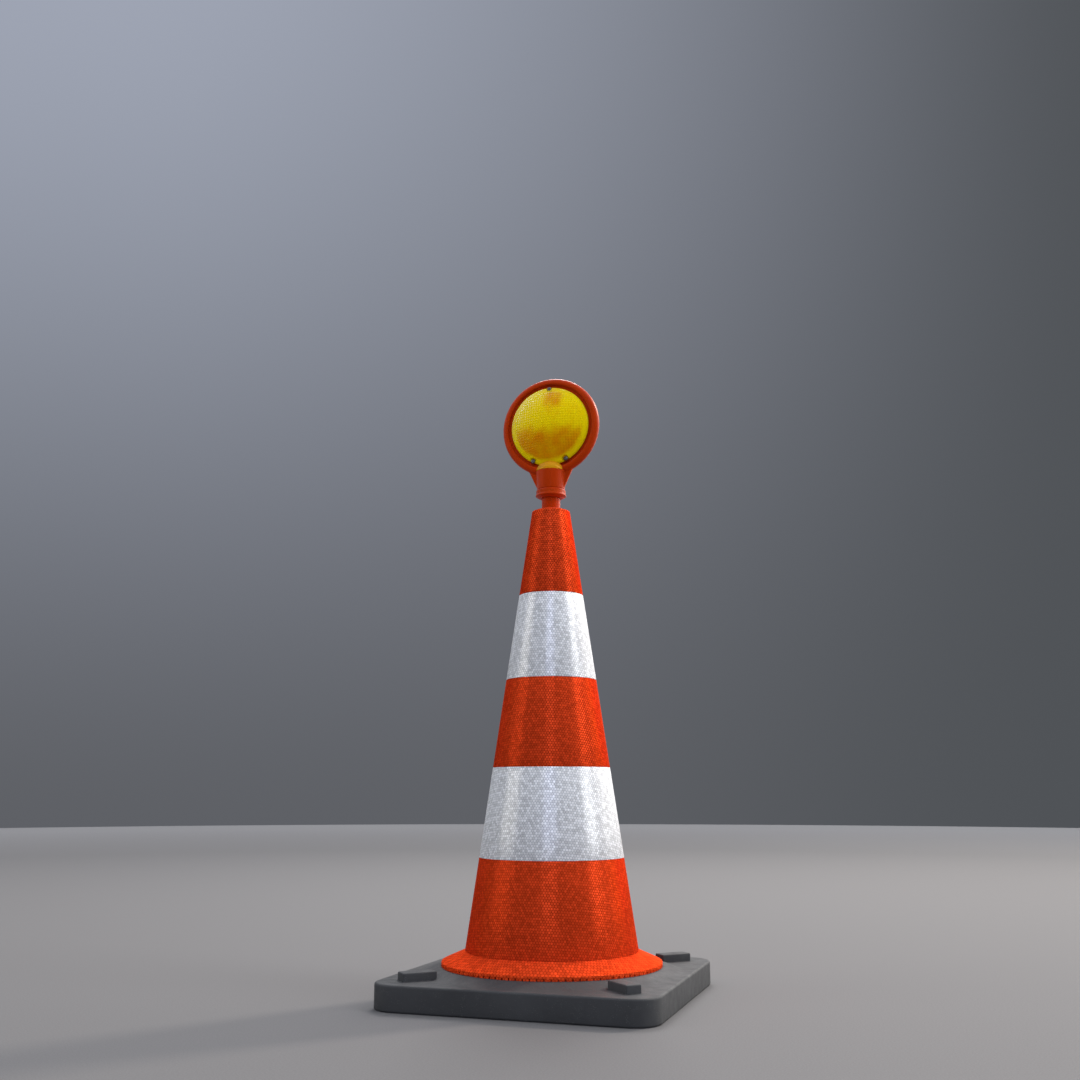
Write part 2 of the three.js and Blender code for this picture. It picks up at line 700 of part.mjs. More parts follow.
// The spring presses the cells against the positive contact.
function coil(radius, low, high) {
  const turnSteps = 8;
  const count = springTurns * turnSteps;
  const points = Array.from({ length: count + 1 }, (_, i) => {
    const angle = (2 * Math.PI * i) / turnSteps;
    const height = low + ((high - low) * i) / count;
    return [radius * Math.cos(angle), radius * Math.sin(angle), height];
  });
  return wireAlong(points, springWire, count);
}
const springLow = plugTop + 0.95 + springWire + 0.2;
const springHigh = contactHeight - cellLength * cellCount - tubeBottom - springWire - 0.4;
addTo(cap, "battery_spring", coil(7, springLow, springHigh), steel);

const warningLight = new THREE.Group();
warningLight.add(stand, head, stem, cap);

export default warningLight;
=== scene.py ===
import json
import math

import bmesh
import bpy
from mathutils import Matrix, Vector


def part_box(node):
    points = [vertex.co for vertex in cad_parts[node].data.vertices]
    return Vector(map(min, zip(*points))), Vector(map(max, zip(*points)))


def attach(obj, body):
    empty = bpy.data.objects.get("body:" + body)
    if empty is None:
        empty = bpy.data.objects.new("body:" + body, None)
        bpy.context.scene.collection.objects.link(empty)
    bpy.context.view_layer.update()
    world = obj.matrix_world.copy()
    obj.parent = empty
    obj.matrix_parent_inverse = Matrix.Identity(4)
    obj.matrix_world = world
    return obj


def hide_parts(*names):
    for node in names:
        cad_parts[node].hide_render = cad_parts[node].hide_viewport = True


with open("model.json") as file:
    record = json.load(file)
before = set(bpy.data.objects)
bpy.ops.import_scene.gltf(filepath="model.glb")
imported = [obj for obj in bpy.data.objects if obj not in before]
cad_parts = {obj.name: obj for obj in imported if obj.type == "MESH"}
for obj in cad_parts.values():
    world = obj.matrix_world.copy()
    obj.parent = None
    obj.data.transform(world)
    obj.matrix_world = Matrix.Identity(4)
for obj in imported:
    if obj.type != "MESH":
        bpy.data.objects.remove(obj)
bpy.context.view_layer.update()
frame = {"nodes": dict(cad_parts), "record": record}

# Metres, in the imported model's frame: +Z is up, the lamp's front lens faces -Y.
MM = 0.001
FRONT, REAR = -1, 1  # which way along Y a piece of the lamp's head faces


# ---- Outlines ----


def arc(centre, radius, start, end, steps):
    """Points of a circular arc, angles in degrees."""
    turns = [math.radians(start + (end - start) * i / steps) for i in range(steps + 1)]
    return [(centre[0] + radius * math.cos(t), centre[1] + radius * math.sin(t)) for t in turns]


def rounded(corners, steps=5):
    """A closed outline whose corners are (x, y) or (x, y, radius), each rounded by its radius."""
    outline = []
    for i, corner in enumerate(corners):
        here = Vector(corner[:2])
        radius = corner[2] if len(corner) > 2 else 0
        if not radius:
            outline.append(tuple(here))
            continue
        before = (Vector(corners[i - 1][:2]) - here).normalized()
        after = (Vector(corners[(i + 1) % len(corners)][:2]) - here).normalized()
        half = before.angle(after) / 2
        middle = here + (before + after).normalized() * (radius / math.sin(half))
        first = here + before * (radius / math.tan(half)) - middle
        last = here + after * (radius / math.tan(half)) - middle
        sweep = first.angle(last)
        for k in range(steps + 1):
            share = k / steps
            weights = math.sin((1 - share) * sweep), math.sin(share * sweep)
            outline.append(tuple(middle + (first * weights[0] + last * weights[1]) / math.sin(sweep)))
    return outline


def rounded_square(half, radius, steps=12):
    """Counter-clockwise points of a square with round corners."""
    inner = half - radius
    corners = ((inner, inner, 0), (-inner, inner, 90), (-inner, -inner, 180), (inner, -inner, 270))
    return [p for x, y, turn in corners for p in arc((x, y), radius, turn, turn + 90, steps)]


# ---- Meshes ----


def add(name, vertices, faces, material=None, smooth=40):
    """A new object from vertices and faces, shaded smooth except at edges sharper than smooth degrees."""
    mesh = bpy.data.meshes.new(name)
    mesh.from_pydata([tuple(v) for v in vertices], [], faces)
    mesh.validate()
    piece = bpy.data.objects.new(name, mesh)
    bpy.context.scene.collection.objects.link(piece)
    if material:
        mesh.materials.append(material)
    finish_mesh(piece, smooth)
    return piece


def finish_mesh(piece, smooth=40):
    """Faces turned outwards and shaded smooth, with sharp edges left sharp."""
    mesh = piece.data
    work = bmesh.new()
    work.from_mesh(mesh)
    bmesh.ops.recalc_face_normals(work, faces=work.faces)
    work.to_mesh(mesh)
    work.free()
    mesh.shade_smooth()
    mesh.set_sharp_from_angle(angle=math.radians(smooth))


def lathe(name, outline, material=None, columns=160, bend=None, smooth=40):
    """A closed outline of (radius, height) turned about the vertical axis.

    columns is a count or a list of angles. bend(radius, height, column) may move a point."""
    if isinstance(columns, int):
        columns = [2 * math.pi * i / columns for i in range(columns)]
    vertices, rings = [], []
    for radius, height in outline:
        if abs(radius) < 1e-9:
            rings.append([len(vertices)] * len(columns))
            vertices.append((0, 0, height))
            continue
        rings.append(range(len(vertices), len(vertices) + len(columns)))
        for number, angle in enumerate(columns):
            r, h = bend(radius, height, number) if bend else (radius, height)
            vertices.append((r * math.cos(angle), r * math.sin(angle), h))
    faces = []
    for here, there in zip(rings, rings[1:] + rings[:1]):
        for k in range(len(columns)):
            n = (k + 1) % len(columns)
            corners = list(dict.fromkeys((here[k], here[n], there[n], there[k])))
            if len(corners) > 2:
                faces.append(corners)
    return add(name, vertices, faces, material, smooth)


def place(piece, offset=(0, 0, 0), turn=None):
    """Moves a piece's mesh: first the turn, a matrix, and then the offset."""
    matrix = Matrix.Translation(Vector(offset))
    piece.data.transform(matrix @ turn.to_4x4() if turn else matrix)
    piece.data.update()
    return piece


def facing(side):
    """Turns +Z to the way that a side of the lamp's head faces."""
    return Matrix.Rotation(math.radians(90 if side == FRONT else -90), 3, "X")


def cylinder(name, radius, low, high, x=0, y=0, columns=48):
    outline = [(0, low), (radius, low), (radius, high), (0, high)]
    return place(lathe(name, outline, columns=columns), (x, y, 0))


def cross_cylinder(name, radius, start, end, x, z, side=FRONT, columns=48):
    """A cylinder along the lens axis between two forward distances."""
    return place(cylinder(name, radius, start, end, columns=columns), (x, 0, z), facing(side))


def box_solid(name, low, high, edge=0, steps=3):
    """A box between two corners, with its edges rounded."""
    work = bmesh.new()
    bmesh.ops.create_cube(work, size=1)
    middle = (Vector(low) + Vector(high)) / 2
    size = Vector(high) - Vector(low)
    bmesh.ops.scale(work, vec=size, verts=work.verts)
    bmesh.ops.translate(work, vec=middle, verts=work.verts)
    if edge:
        bmesh.ops.bevel(work, geom=work.edges[:], offset=edge, segments=steps, profile=0.5, affect="EDGES")
    piece = add(name, [], [])
    work.to_mesh(piece.data)
    work.free()
    finish_mesh(piece)
    return piece


def settle(piece):
    """Applies a piece's modifiers."""
    graph = bpy.context.evaluated_depsgraph_get()
    mesh = bpy.data.meshes.new_from_object(piece.evaluated_get(graph))
    piece.modifiers.clear()
    piece.data = mesh
    return piece


def combine(piece, operation, tools, smooth=40):
    """Joins tools to a piece, cuts them from it or keeps what they share with it, and removes the tools."""
    for tool in tools:
        modifier = piece.modifiers.new("combine", "BOOLEAN")
        modifier.operation = operation
        modifier.solver = "EXACT"
        modifier.material_mode = "TRANSFER"
        modifier.object = tool
    settle(piece)
    for tool in tools:
        bpy.data.objects.remove(tool)
    finish_mesh(piece, smooth)
    return piece


def cut(piece, tools, smooth=40):
    return combine(piece, "DIFFERENCE", tools, smooth)


def melt(piece, voxel, passes):
    """Remeshes a moulded piece finely and eases its edges and inner corners."""
    remesh = piece.modifiers.new("remesh", "REMESH")
    remesh.mode = "VOXEL"
    remesh.voxel_size = voxel
    ease = piece.modifiers.new("ease", "SMOOTH")
    ease.factor = 0.5
    ease.iterations = passes
    settle(piece)
    piece.data.shade_smooth()
    return piece


def join(name, pieces):
    """One object from several that don't touch."""
    work = bmesh.new()
    for piece in pieces:
        work.from_mesh(piece.data)
        bpy.data.objects.remove(piece)
    whole = add(name, [], [])
    work.to_mesh(whole.data)
    work.free()
    finish_mesh(whole)
    return whole


def shown(piece, node, body, material=None):
    """The piece stands for a CAD node, on the node's body, with the given material if one is given."""
    if material:
        piece.data.materials.clear()
        piece.data.materials.append(material)
    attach(piece, body)
    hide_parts(node)
    return piece


# ---- Materials ----


class Graph:
    """Makes shader nodes and links them. Every value may be a number, a colour or another node's output."""

    def __init__(self, tree):
        self.nodes = tree.nodes
        self.links = tree.links

    def node(self, kind, inputs=None, **settings):
        made = self.nodes.new("ShaderNode" + kind)
        for key, value in settings.items():
            setattr(made, key, value)
        for key, value in (inputs or {}).items():
            self.set(made.inputs[key], value)
        return made

    def set(self, socket, value):
        if isinstance(value, bpy.types.NodeSocket):
            self.links.new(value, socket)
        else:
            socket.default_value = value

    def math(self, operation, *values):
        return self.node("Math", dict(enumerate(values)), operation=operation).outputs[0]

    def times(self, first, second):
        return self.math("MULTIPLY", first, second)

    def vector(self, operation, *values):
        made = self.node("VectorMath", dict(enumerate(values)), operation=operation)
        return made.outputs["Value" if operation in ("DOT_PRODUCT", "LENGTH") else "Vector"]

    def scale(self, vector, share):
        return self.node("VectorMath", {0: vector, "Scale": share}, operation="SCALE").outputs[0]

    def position(self):
        return self.node("TexCoord").outputs["Object"]

    def noise(self, scale, detail, where=None):
        inputs = {"Vector": where or self.position(), "Scale": scale, "Detail": detail}
        return self.node("TexNoise", inputs).outputs["Fac"]

    def ramp(self, value, low, high, start=0.0, end=1.0, smooth=False):
        inputs = {"Value": value, "From Min": low, "From Max": high, "To Min": start, "To Max": end}
        kind = "SMOOTHSTEP" if smooth else "LINEAR"
        return self.node("MapRange", inputs, interpolation_type=kind).outputs["Result"]

    def mix(self, share, first, second, **settings):
        inputs = {0: share, 6: first, 7: second}
        return self.node("Mix", inputs, data_type="RGBA", **settings).outputs[2]


class Shader(Graph):
    """A material's nodes."""

    def __init__(self, name):
        self.material = bpy.data.materials.new(name)
        self.material.use_nodes = True
        super().__init__(self.material.node_tree)
        self.surface = self.nodes["Principled BSDF"]

    def patches(self, scale, detail, start=0.0, end=1.0):
        """Soft patches between two values."""
        return self.ramp(self.noise(scale, detail), 0.3, 0.7, start, end)

    def bump(self, height, distance, strength=1.0):
        inputs = {"Height": height, "Distance": distance, "Strength": strength}
        return self.node("Bump", inputs).outputs["Normal"]

    def worn_edge(self, reach):
        """1 along sharp edges, 0 on flat faces."""
        soft = self.node("Bevel", {"Radius": reach}, samples=4).outputs[0]
        flat = self.node("NewGeometry").outputs["Normal"]
        return self.ramp(self.vector("DOT_PRODUCT", soft, flat), 0.99, 0.85)

    def end(self, **inputs):
        for key, value in inputs.items():
            self.set(self.surface.inputs[key.replace("_", " ")], value)
        return self.material


def colour(red, green, blue):
    """An sRGB colour, 0 to 255, as linear RGBA."""
    shares = [value / 255 for value in (red, green, blue)]
    linear = [c / 12.92 if c <= 0.04045 else ((c + 0.055) / 1.055) ** 2.4 for c in shares]
    return (*linear, 1.0)


CELL = 4.2 * MM  # honeycomb cell of the reflective sheeting, across its flats


def honeycomb(shader, cell):
    """Hexagonal cells over the film's UV: nearness to the border, place in the cell, and a random colour."""
    where = shader.node("UVMap").outputs["UV"]
    pitch = (1.0, math.sqrt(3.0), 1.0)
    half = tuple(p / 2 for p in pitch)
    scaled = shader.scale(where, 1 / cell)
    first = shader.vector("SUBTRACT", shader.vector("MODULO", scaled, pitch), half)
    shifted = shader.vector("SUBTRACT", scaled, half)
    second = shader.vector("SUBTRACT", shader.vector("MODULO", shifted, pitch), half)
    first, second = (shader.vector("MULTIPLY", v, (1.0, 1.0, 0.0)) for v in (first, second))
    nearer = shader.math("LESS_THAN", *(shader.vector("LENGTH", v) for v in (first, second)))
    chosen = shader.node("Mix", {0: nearer, 4: second, 5: first}, data_type="VECTOR").outputs[1]
    across = shader.vector("ABSOLUTE", chosen)
    slanted = shader.vector("DOT_PRODUCT", across, (0.5, math.sqrt(3.0) / 2, 0.0))
    straight = shader.node("SeparateXYZ", {"Vector": across}).outputs["X"]
    border = shader.times(shader.math("MAXIMUM", slanted, straight), 2.0)
    centre = shader.vector("ADD", shader.vector("SUBTRACT", scaled, chosen), (0.125, 0.125, 0.0))
    number = shader.vector("SNAP", centre, (0.25, 0.25, 0.25))
    random = shader.node("TexWhiteNoise", {"Vector": number}).outputs["Color"]
    return border, chosen, random


def sheeting(name, face, border, depth, glint=0.35):
    """Retroreflective film: bright honeycomb cells, no two quite alike through painted glints in their
    colour, with darker borders pressed in.
    """
    shader = Shader(name)
    edge, place_in_cell, random = honeycomb(shader, CELL)
    wall = shader.ramp(edge, 0.7, 0.95, smooth=True)
    cloud = shader.ramp(shader.noise(14, 4), 0.35, 0.65, 0.96, 1.03)
    grey = shader.node("SeparateColor", {"Color": random}).outputs["Red"]
    # Painted glint: each cell's colour is lifted or lowered at random in place of cells catching the light
    # differently; the cloud is random tone.
    tone_and_painted_glint = shader.times(cloud, shader.ramp(grey, 0, 1, 0.78, 1.2))
    tone = shader.scale(shader.mix(wall, face, border), tone_and_painted_glint)
    tilt = shader.vector("DOT_PRODUCT", place_in_cell, shader.vector("SUBTRACT", random, (0.5, 0.5, 0.5)))
    height = shader.math("SUBTRACT", shader.times(tilt, 0.5), wall)
    return shader.end(
        Base_Color=tone,
        Metallic=shader.ramp(wall, 0, 1, glint, glint / 3),
        Roughness=shader.ramp(wall, 0, 1, 0.2, 0.45),
        Specular_IOR_Level=0.0,
        Specular_Tint=face,
        Normal=shader.bump(height, depth, 0.6),
    )


def moulded(name, face, worn, roughness=0.42, shine=0.1):
    """Moulded plastic or rubber with a fine grain, slight blotches and lighter worn edges."""
    shader = Shader(name)
    blotch = shader.patches(22, 5)
    dull = [c * 0.86 for c in face[:3]] + [1]
    base = shader.mix(shader.worn_edge(0.7 * MM), shader.mix(blotch, dull, face), worn)
    fine = shader.noise(1900, 2)
    coarse = shader.noise(160, 3)
    height = shader.math("ADD", fine, shader.times(coarse, 0.6))
    rough = shader.patches(70, 4, roughness - 0.06, roughness + 0.08)
    return shader.end(
        Base_Color=base,
        Roughness=rough,
        Normal=shader.bump(height, 0.00008),
        Coat_Weight=shine,
        Specular_IOR_Level=0.35,
        Specular_Tint=face,
    )


def grainy_rubber(name, face, worn):
    """Recycled rubber: dark, matte and pitted, with scattered lighter crumbs and scuffed edges."""
    shader = Shader(name)
    crumbs = shader.node("TexVoronoi", {"Vector": shader.position(), "Scale": 420.0}).outputs["Distance"]
    crumb = shader.ramp(crumbs, 0.12, 0.3, 1, 0)
    speck = shader.times(crumb, shader.ramp(shader.noise(90, 2), 0.45, 0.62))
    blotch = shader.patches(9, 5)
    dusty = [min(1, c * 1.35) for c in face[:3]] + [1]
    base = shader.mix(blotch, face, dusty)
    base = shader.mix(shader.times(speck, 0.35), base, worn)
    scuff = shader.times(shader.worn_edge(1.6 * MM), shader.ramp(shader.noise(130, 4), 0.4, 0.6))
    base = shader.mix(shader.times(scuff, 0.6), base, worn)
    height = shader.math("ADD", shader.noise(900, 3), shader.times(shader.noise(240, 3), 0.8))
    rough = shader.patches(60, 3, 0.55, 0.75)
    relief = shader.bump(height, 0.0002)
    return shader.end(Base_Color=base, Roughness=rough, Specular_IOR_Level=0.3, Normal=relief)


def amber(name, tint, clear, roughness):
    """Smooth, clear amber plastic with a slight cast in its thickness."""
    shader = Shader(name)
    cast = shader.patches(30, 2)
    pale = [min(1, c * 1.15) for c in tint[:3]] + [1]
    scratch = shader.noise(600, 3)
    return shader.end(
        Base_Color=shader.mix(cast, tint, pale),
        Roughness=shader.ramp(scratch, 0.4, 0.7, roughness, roughness + 0.06),
        Transmission_Weight=clear,
        IOR=1.49,
        Specular_Tint=tint,
        Normal=shader.bump(scratch, 0.00001),
    )


def fluted_amber_with_painted_glow(name, high, low, clear, roughness):
    """Amber lens plastic with a painted glow, stronger towards its top: yellow, deepening to orange below
    and near its top.
    """
    shader = Shader(name)
    split = shader.node("SeparateXYZ", {"Vector": shader.position()})
    up = shader.math("SUBTRACT", split.outputs["Z"], lens_centre.z)
    lower = shader.ramp(up, 0.006, -0.026, smooth=True)
    aside = shader.math("ABSOLUTE", shader.math("SUBTRACT", split.outputs["X"], 0.008))
    narrow = shader.ramp(aside, 0.022, 0.006, smooth=True)
    crown = shader.times(shader.ramp(up, 0.018, 0.04, smooth=True), narrow)
    share = shader.math("MAXIMUM", shader.times(lower, 0.75), shader.times(crown, 0.6))
    flat = shader.vector("MULTIPLY", shader.position(), (1, 0, 1))
    reach = shader.vector("LENGTH", shader.vector("SUBTRACT", flat, (0, 0, lens_centre.z)))
    share = shader.times(share, shader.ramp(reach, 0.061, 0.056))
    share = shader.math("ADD", share, shader.patches(60, 3, -0.2, 0.2))
    scratch = shader.noise(600, 3)
    tone = shader.mix(share, high, low)
    return shader.end(
        Base_Color=tone,
        Roughness=shader.ramp(scratch, 0.4, 0.7, roughness, roughness + 0.06),
        Transmission_Weight=clear,
        IOR=1.2,
        Specular_IOR_Level=0.15,
        Specular_Tint=colour(255, 240, 30),
        # Painted glow: the lens gives off light in its own colour, more towards its top, in place of light
        # passing through it.
        Emission_Color=tone,
        Emission_Strength=shader.ramp(up, -0.03, 0.06, 0.07, 0.13),
        Normal=shader.bump(scratch, 0.00001),
    )


def metal(name, tint, roughness):
    """Plated or rolled metal with faint brushing and tarnish."""
    shader = Shader(name)
    tarnish = shader.ramp(shader.noise(240, 4), 0.35, 0.7)
    dull = [c * 0.7 for c in tint[:3]] + [1]
    stretched = shader.vector("MULTIPLY", shader.position(), (1.0, 1.0, 18.0))
    brush = shader.noise(900, 2, where=stretched)
    rough = shader.ramp(brush, 0.3, 0.7, roughness - 0.06, roughness + 0.1)
    base = shader.mix(tarnish, tint, dull)
    return shader.end(Base_Color=base, Metallic=1.0, Roughness=rough, Normal=shader.bump(brush, 0.00002))


def circuit_board(name):
    """Green solder mask with straight tracks just showing through."""
    shader = Shader(name)
    grid = shader.node("TexBrick", {
        "Vector": shader.position(),
        "Scale": 260.0,
        "Mortar Size": 0.03,
        "Color1": colour(30, 110, 60),
        "Color2": colour(24, 92, 52),
        "Mortar": colour(70, 140, 80),
    })
    tracks = shader.math("SUBTRACT", 1.0, grid.outputs["Fac"])
    relief = shader.bump(tracks, 0.00005)
    return shader.end(Base_Color=grid.outputs["Color"], Roughness=0.35, Normal=relief, Coat_Weight=0.4)


def cell_jacket(name):
    """A battery's glossy jacket: dark, with a plain copper-coloured band at the positive end."""
    shader = Shader(name)
    height = shader.node("SeparateXYZ", {"Vector": shader.position()}).outputs["Z"]
    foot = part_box("battery_cell_1")[0].z
    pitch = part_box("battery_cell_2")[0].z - foot
    along = shader.math("MODULO", shader.math("SUBTRACT", height, foot), pitch)
    band = shader.ramp(along, pitch * 0.74, pitch * 0.75)
    base = shader.mix(band, colour(44, 47, 54), colour(178, 112, 62))
    scratch = shader.noise(500, 3, where=shader.vector("MULTIPLY", shader.position(), (1, 1, 0.1)))
    return shader.end(
        Base_Color=base,
        Metallic=0.5,
        Roughness=shader.ramp(scratch, 0.3, 0.7, 0.22, 0.36),
        Normal=shader.bump(scratch, 0.00002),
    )


# ---- Places, from the frame ----

slab_low, slab_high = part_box("base_slab")
shell_low, shell_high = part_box("cone_shell")
low_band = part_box("orange_band_low")
top_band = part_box("orange_band_top")
ring_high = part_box("lamp_housing")[1]
lens_low, lens_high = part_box("front_lens")
window_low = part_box("sensor_window")[0]
collar_low, collar_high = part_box("retaining_collar")
tube_low, tube_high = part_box("battery_tube")
bush_low, bush_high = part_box("socket_bush")
cap_low, cap_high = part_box("battery_cap")
bezel_low, bezel_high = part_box("switch_bezel")
button_low, button_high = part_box("switch_button")

lens_radius = lens_high.x
ring_radius = ring_high.x
lens_centre = Vector((0, 0, ring_high.z - ring_radius))

FOOT_SCREWS = sorted(name for name in frame["nodes"] if name.startswith("base_screw"))
BOLTS = [name for name in frame["nodes"] if name.startswith("lens_bolt")]
NUTS = [name for name in frame["nodes"] if name.startswith("lens_nut")]

wall_slope = (low_band[1].x - top_band[1].x) / (top_band[0].z - low_band[0].z)


def middle(node):
    low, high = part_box(node)
    return (low + high) / 2


def wall_radius(height):
    """Radius of the cone's outside, on the line through the feet of its lowest and highest bands."""
    return low_band[1].x + wall_slope * (low_band[0].z - height)


# ---- Material library ----

orange_plastic = moulded("orange_plastic", colour(198, 60, 11), colour(226, 96, 40), shine=0.02)
white_film = sheeting("white_sheeting", colour(252, 253, 255), colour(150, 154, 163), 0.00025)
orange_film = sheeting("orange_sheeting", colour(226, 72, 32), colour(138, 32, 12), 0.00025)
cone_plastic = sheeting("cone_plastic", colour(240, 80, 36), colour(170, 42, 14), 0.0002, 0.2)
base_rubber = grainy_rubber("base_rubber", colour(56, 57, 59), colour(120, 120, 118))
bush_rubber = moulded("bush_rubber", colour(200, 58, 20), colour(220, 96, 60), roughness=0.6, shine=0.0)
seal_rubber = moulded("seal_rubber", colour(30, 30, 32), colour(60, 60, 62), roughness=0.65, shine=0.0)
black_plastic = moulded("black_plastic", colour(28, 28, 31), colour(70, 70, 72), roughness=0.45)
reflector_plastic = moulded(
    "reflector_plastic", colour(246, 206, 40), colour(250, 220, 90), roughness=0.2, shine=0.6
)
red_cable = moulded("red_cable", colour(170, 26, 22), colour(190, 60, 50))
amber_lens = fluted_amber_with_painted_glow("amber_lens", colour(244, 226, 10), colour(222, 140, 8), 0.45, 0.16)
lens_facets = fluted_amber_with_painted_glow("lens_facets", colour(238, 218, 12), colour(226, 130, 6), 0.2, 0.3)
# Darker amber for the bolt wells and their ears: painted shade for those recesses.
painted_shade_amber = amber("painted_shade_amber", colour(128, 44, 8), 0.5, 0.25)
amber_window = amber("amber_window", colour(248, 174, 26), 0.35, 0.2)
plated_steel = metal("plated_steel", colour(206, 208, 212), 0.24)
screw_steel = metal("screw_steel", colour(132, 128, 128), 0.42)
contact_brass = metal("contact_brass", colour(206, 170, 92), 0.28)
board_green = circuit_board("circuit_board")
battery_jacket = cell_jacket("cell_jacket")


# ---- Stand: base ----

LUG = {"length": 52 * MM, "width": 24 * MM, "distance": 218 * MM, "edge": 2 * MM}
PLINTH = {"radius": 172 * MM, "foot": 200 * MM, "height": 8 * MM}
NESTING_HOLE = 124 * MM
BASE_CORNER = 40 * MM
BASE_EDGE = 3.5 * MM
GROUND_RIM = 24 * MM
UNDER_RECESS = 4 * MM
SCREW_HEAD_BORE = 7 * MM
SCREW_SHANK = 2.8 * MM


def rounded_slab(half, corner, low, high, edge):
    """A square slab with round corners and a round edge, above and below."""
    section = arc((0, low + edge), edge, 270, 360, 6) + arc((0, high - edge), edge, 0, 90, 6)
    rings = [(x - edge, z) for x, z in section]
    vertices = [(x, y, z) for grow, z in rings for x, y in rounded_square(half + grow, corner + grow)]
    count = len(vertices) // len(rings)
    faces = []
    for ring in range(len(rings) - 1):
        for k in range(count):
            n = (k + 1) % count
            a, b = ring * count, (ring + 1) * count
            faces.append((a + k, a + n, b + n, b + k))
    faces.append(tuple(range(count))[::-1])
    faces.append(tuple(range(len(vertices) - count, len(vertices))))
    return add("slab", vertices, faces)


def base():
    top = shell_low.z - PLINTH["height"]
    slab = rounded_slab(slab_high.x, BASE_CORNER, slab_low.z, top, BASE_EDGE)
    plinth = lathe("plinth", rounded([
        (NESTING_HOLE - 2 * MM, top - 10 * MM),
        (PLINTH["foot"], top - 10 * MM),
        (PLINTH["foot"], top - 0.1 * MM),
        (PLINTH["radius"], shell_low.z, 12 * MM),
        (NESTING_HOLE - 2 * MM, shell_low.z),
    ]), columns=128)
    lugs = []
    for turn in (45, 135, 225, 315):
        half = Vector((LUG["length"] / 2, LUG["width"] / 2))
        low = (LUG["distance"] - half.x, -half.y, top - 8 * MM)
        high = (LUG["distance"] + half.x, half.y, slab_high.z)
        lug = box_solid("lug", low, high, LUG["edge"], 4)
        lugs.append(place(lug, turn=Matrix.Rotation(math.radians(turn), 3, "Z")))
    combine(slab, "UNION", [plinth, *lugs])
    hole = cylinder("hole", NESTING_HOLE, -0.01, shell_low.z + 0.01, columns=128)
    inner = slab_high.x - GROUND_RIM
    recess = rounded_slab(inner, BASE_CORNER - GROUND_RIM / 2, -0.02, UNDER_RECESS, 3 * MM)
    screws = []
    for spot in map(middle, FOOT_SCREWS):
        screws.append(cylinder("bore", SCREW_HEAD_BORE, -0.01, 10.3 * MM, spot.x, spot.y))
        screws.append(cylinder("shank", SCREW_SHANK, 0, shell_low.z + 0.01, spot.x, spot.y, 24))
    cut(slab, [hole, recess, *screws])
    slab.name = "base_body"
    return shown(slab, "base_slab", "cone_stand", base_rubber)


base()


# ---- Stand: cone and bands ----

FILM = 0.7 * MM
FILM_SEAT = 0.9 * MM
CONE_WALL = 4 * MM
THROAT = 24 * MM
RIM_NOTCHES = 104


def unroll(piece, slope_to_axis, apex_height):
    """A UV map in metres that lays the cone flat, as its film is cut, with the join at the back."""
    layer = piece.data.uv_layers.new(name="film")
    lean = math.sin(math.atan(slope_to_axis))
    for polygon in piece.data.polygons:
        facing_back = polygon.center.y > 0
        for loop in polygon.loop_indices:
            x, y, z = piece.data.vertices[piece.data.loops[loop].vertex_index].co
            turn = math.atan2(x, -y)
            if facing_back and abs(x) < 1e-6:
                turn = math.copysign(math.pi, polygon.center.x)
            reach = math.hypot(math.hypot(x, y), apex_height - z)
            angle = turn * lean
            # A whole number of metres keeps every coordinate positive, which the cell pattern needs.
            layer.data[loop].uv = (4 + reach * math.sin(angle), 4 + reach * math.cos(angle))


apex = low_band[0].z + low_band[1].x / wall_slope


def film_band(node, material):
    low, high = (corner.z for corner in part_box(node))
    edge = 0.25 * MM
    overlap = 5 * MM

    def lap(radius, height, number):
        """The film's end laps over its start at the back of the cone."""
        turn = columns[number]
        from_back = (turn - math.pi / 2) * radius
        outside = radius > wall_radius(height) - FILM / 2
        return (radius + (0.3 * MM if outside and 0 <= from_back <= overlap else 0), height)

    fine = [math.pi / 2 + step * MM / wall_radius((low + high) / 2) for step in (-0.1, 0, 4.9, 5.0)]
    even = [2 * math.pi * i / 192 for i in range(192) if not 90 < i * 360 / 192 < 95]
    columns = sorted(even + fine)
    outline = rounded([
        (wall_radius(low), low, edge),
        (wall_radius(high), high, edge),
        (wall_radius(high) - FILM, high),
        (wall_radius(low) - FILM, low),
    ], 3)
    band = lathe(node.replace("band", "film"), outline, material, columns, lap)
    unroll(band, wall_slope, apex)
    return shown(band, node, "cone_stand")


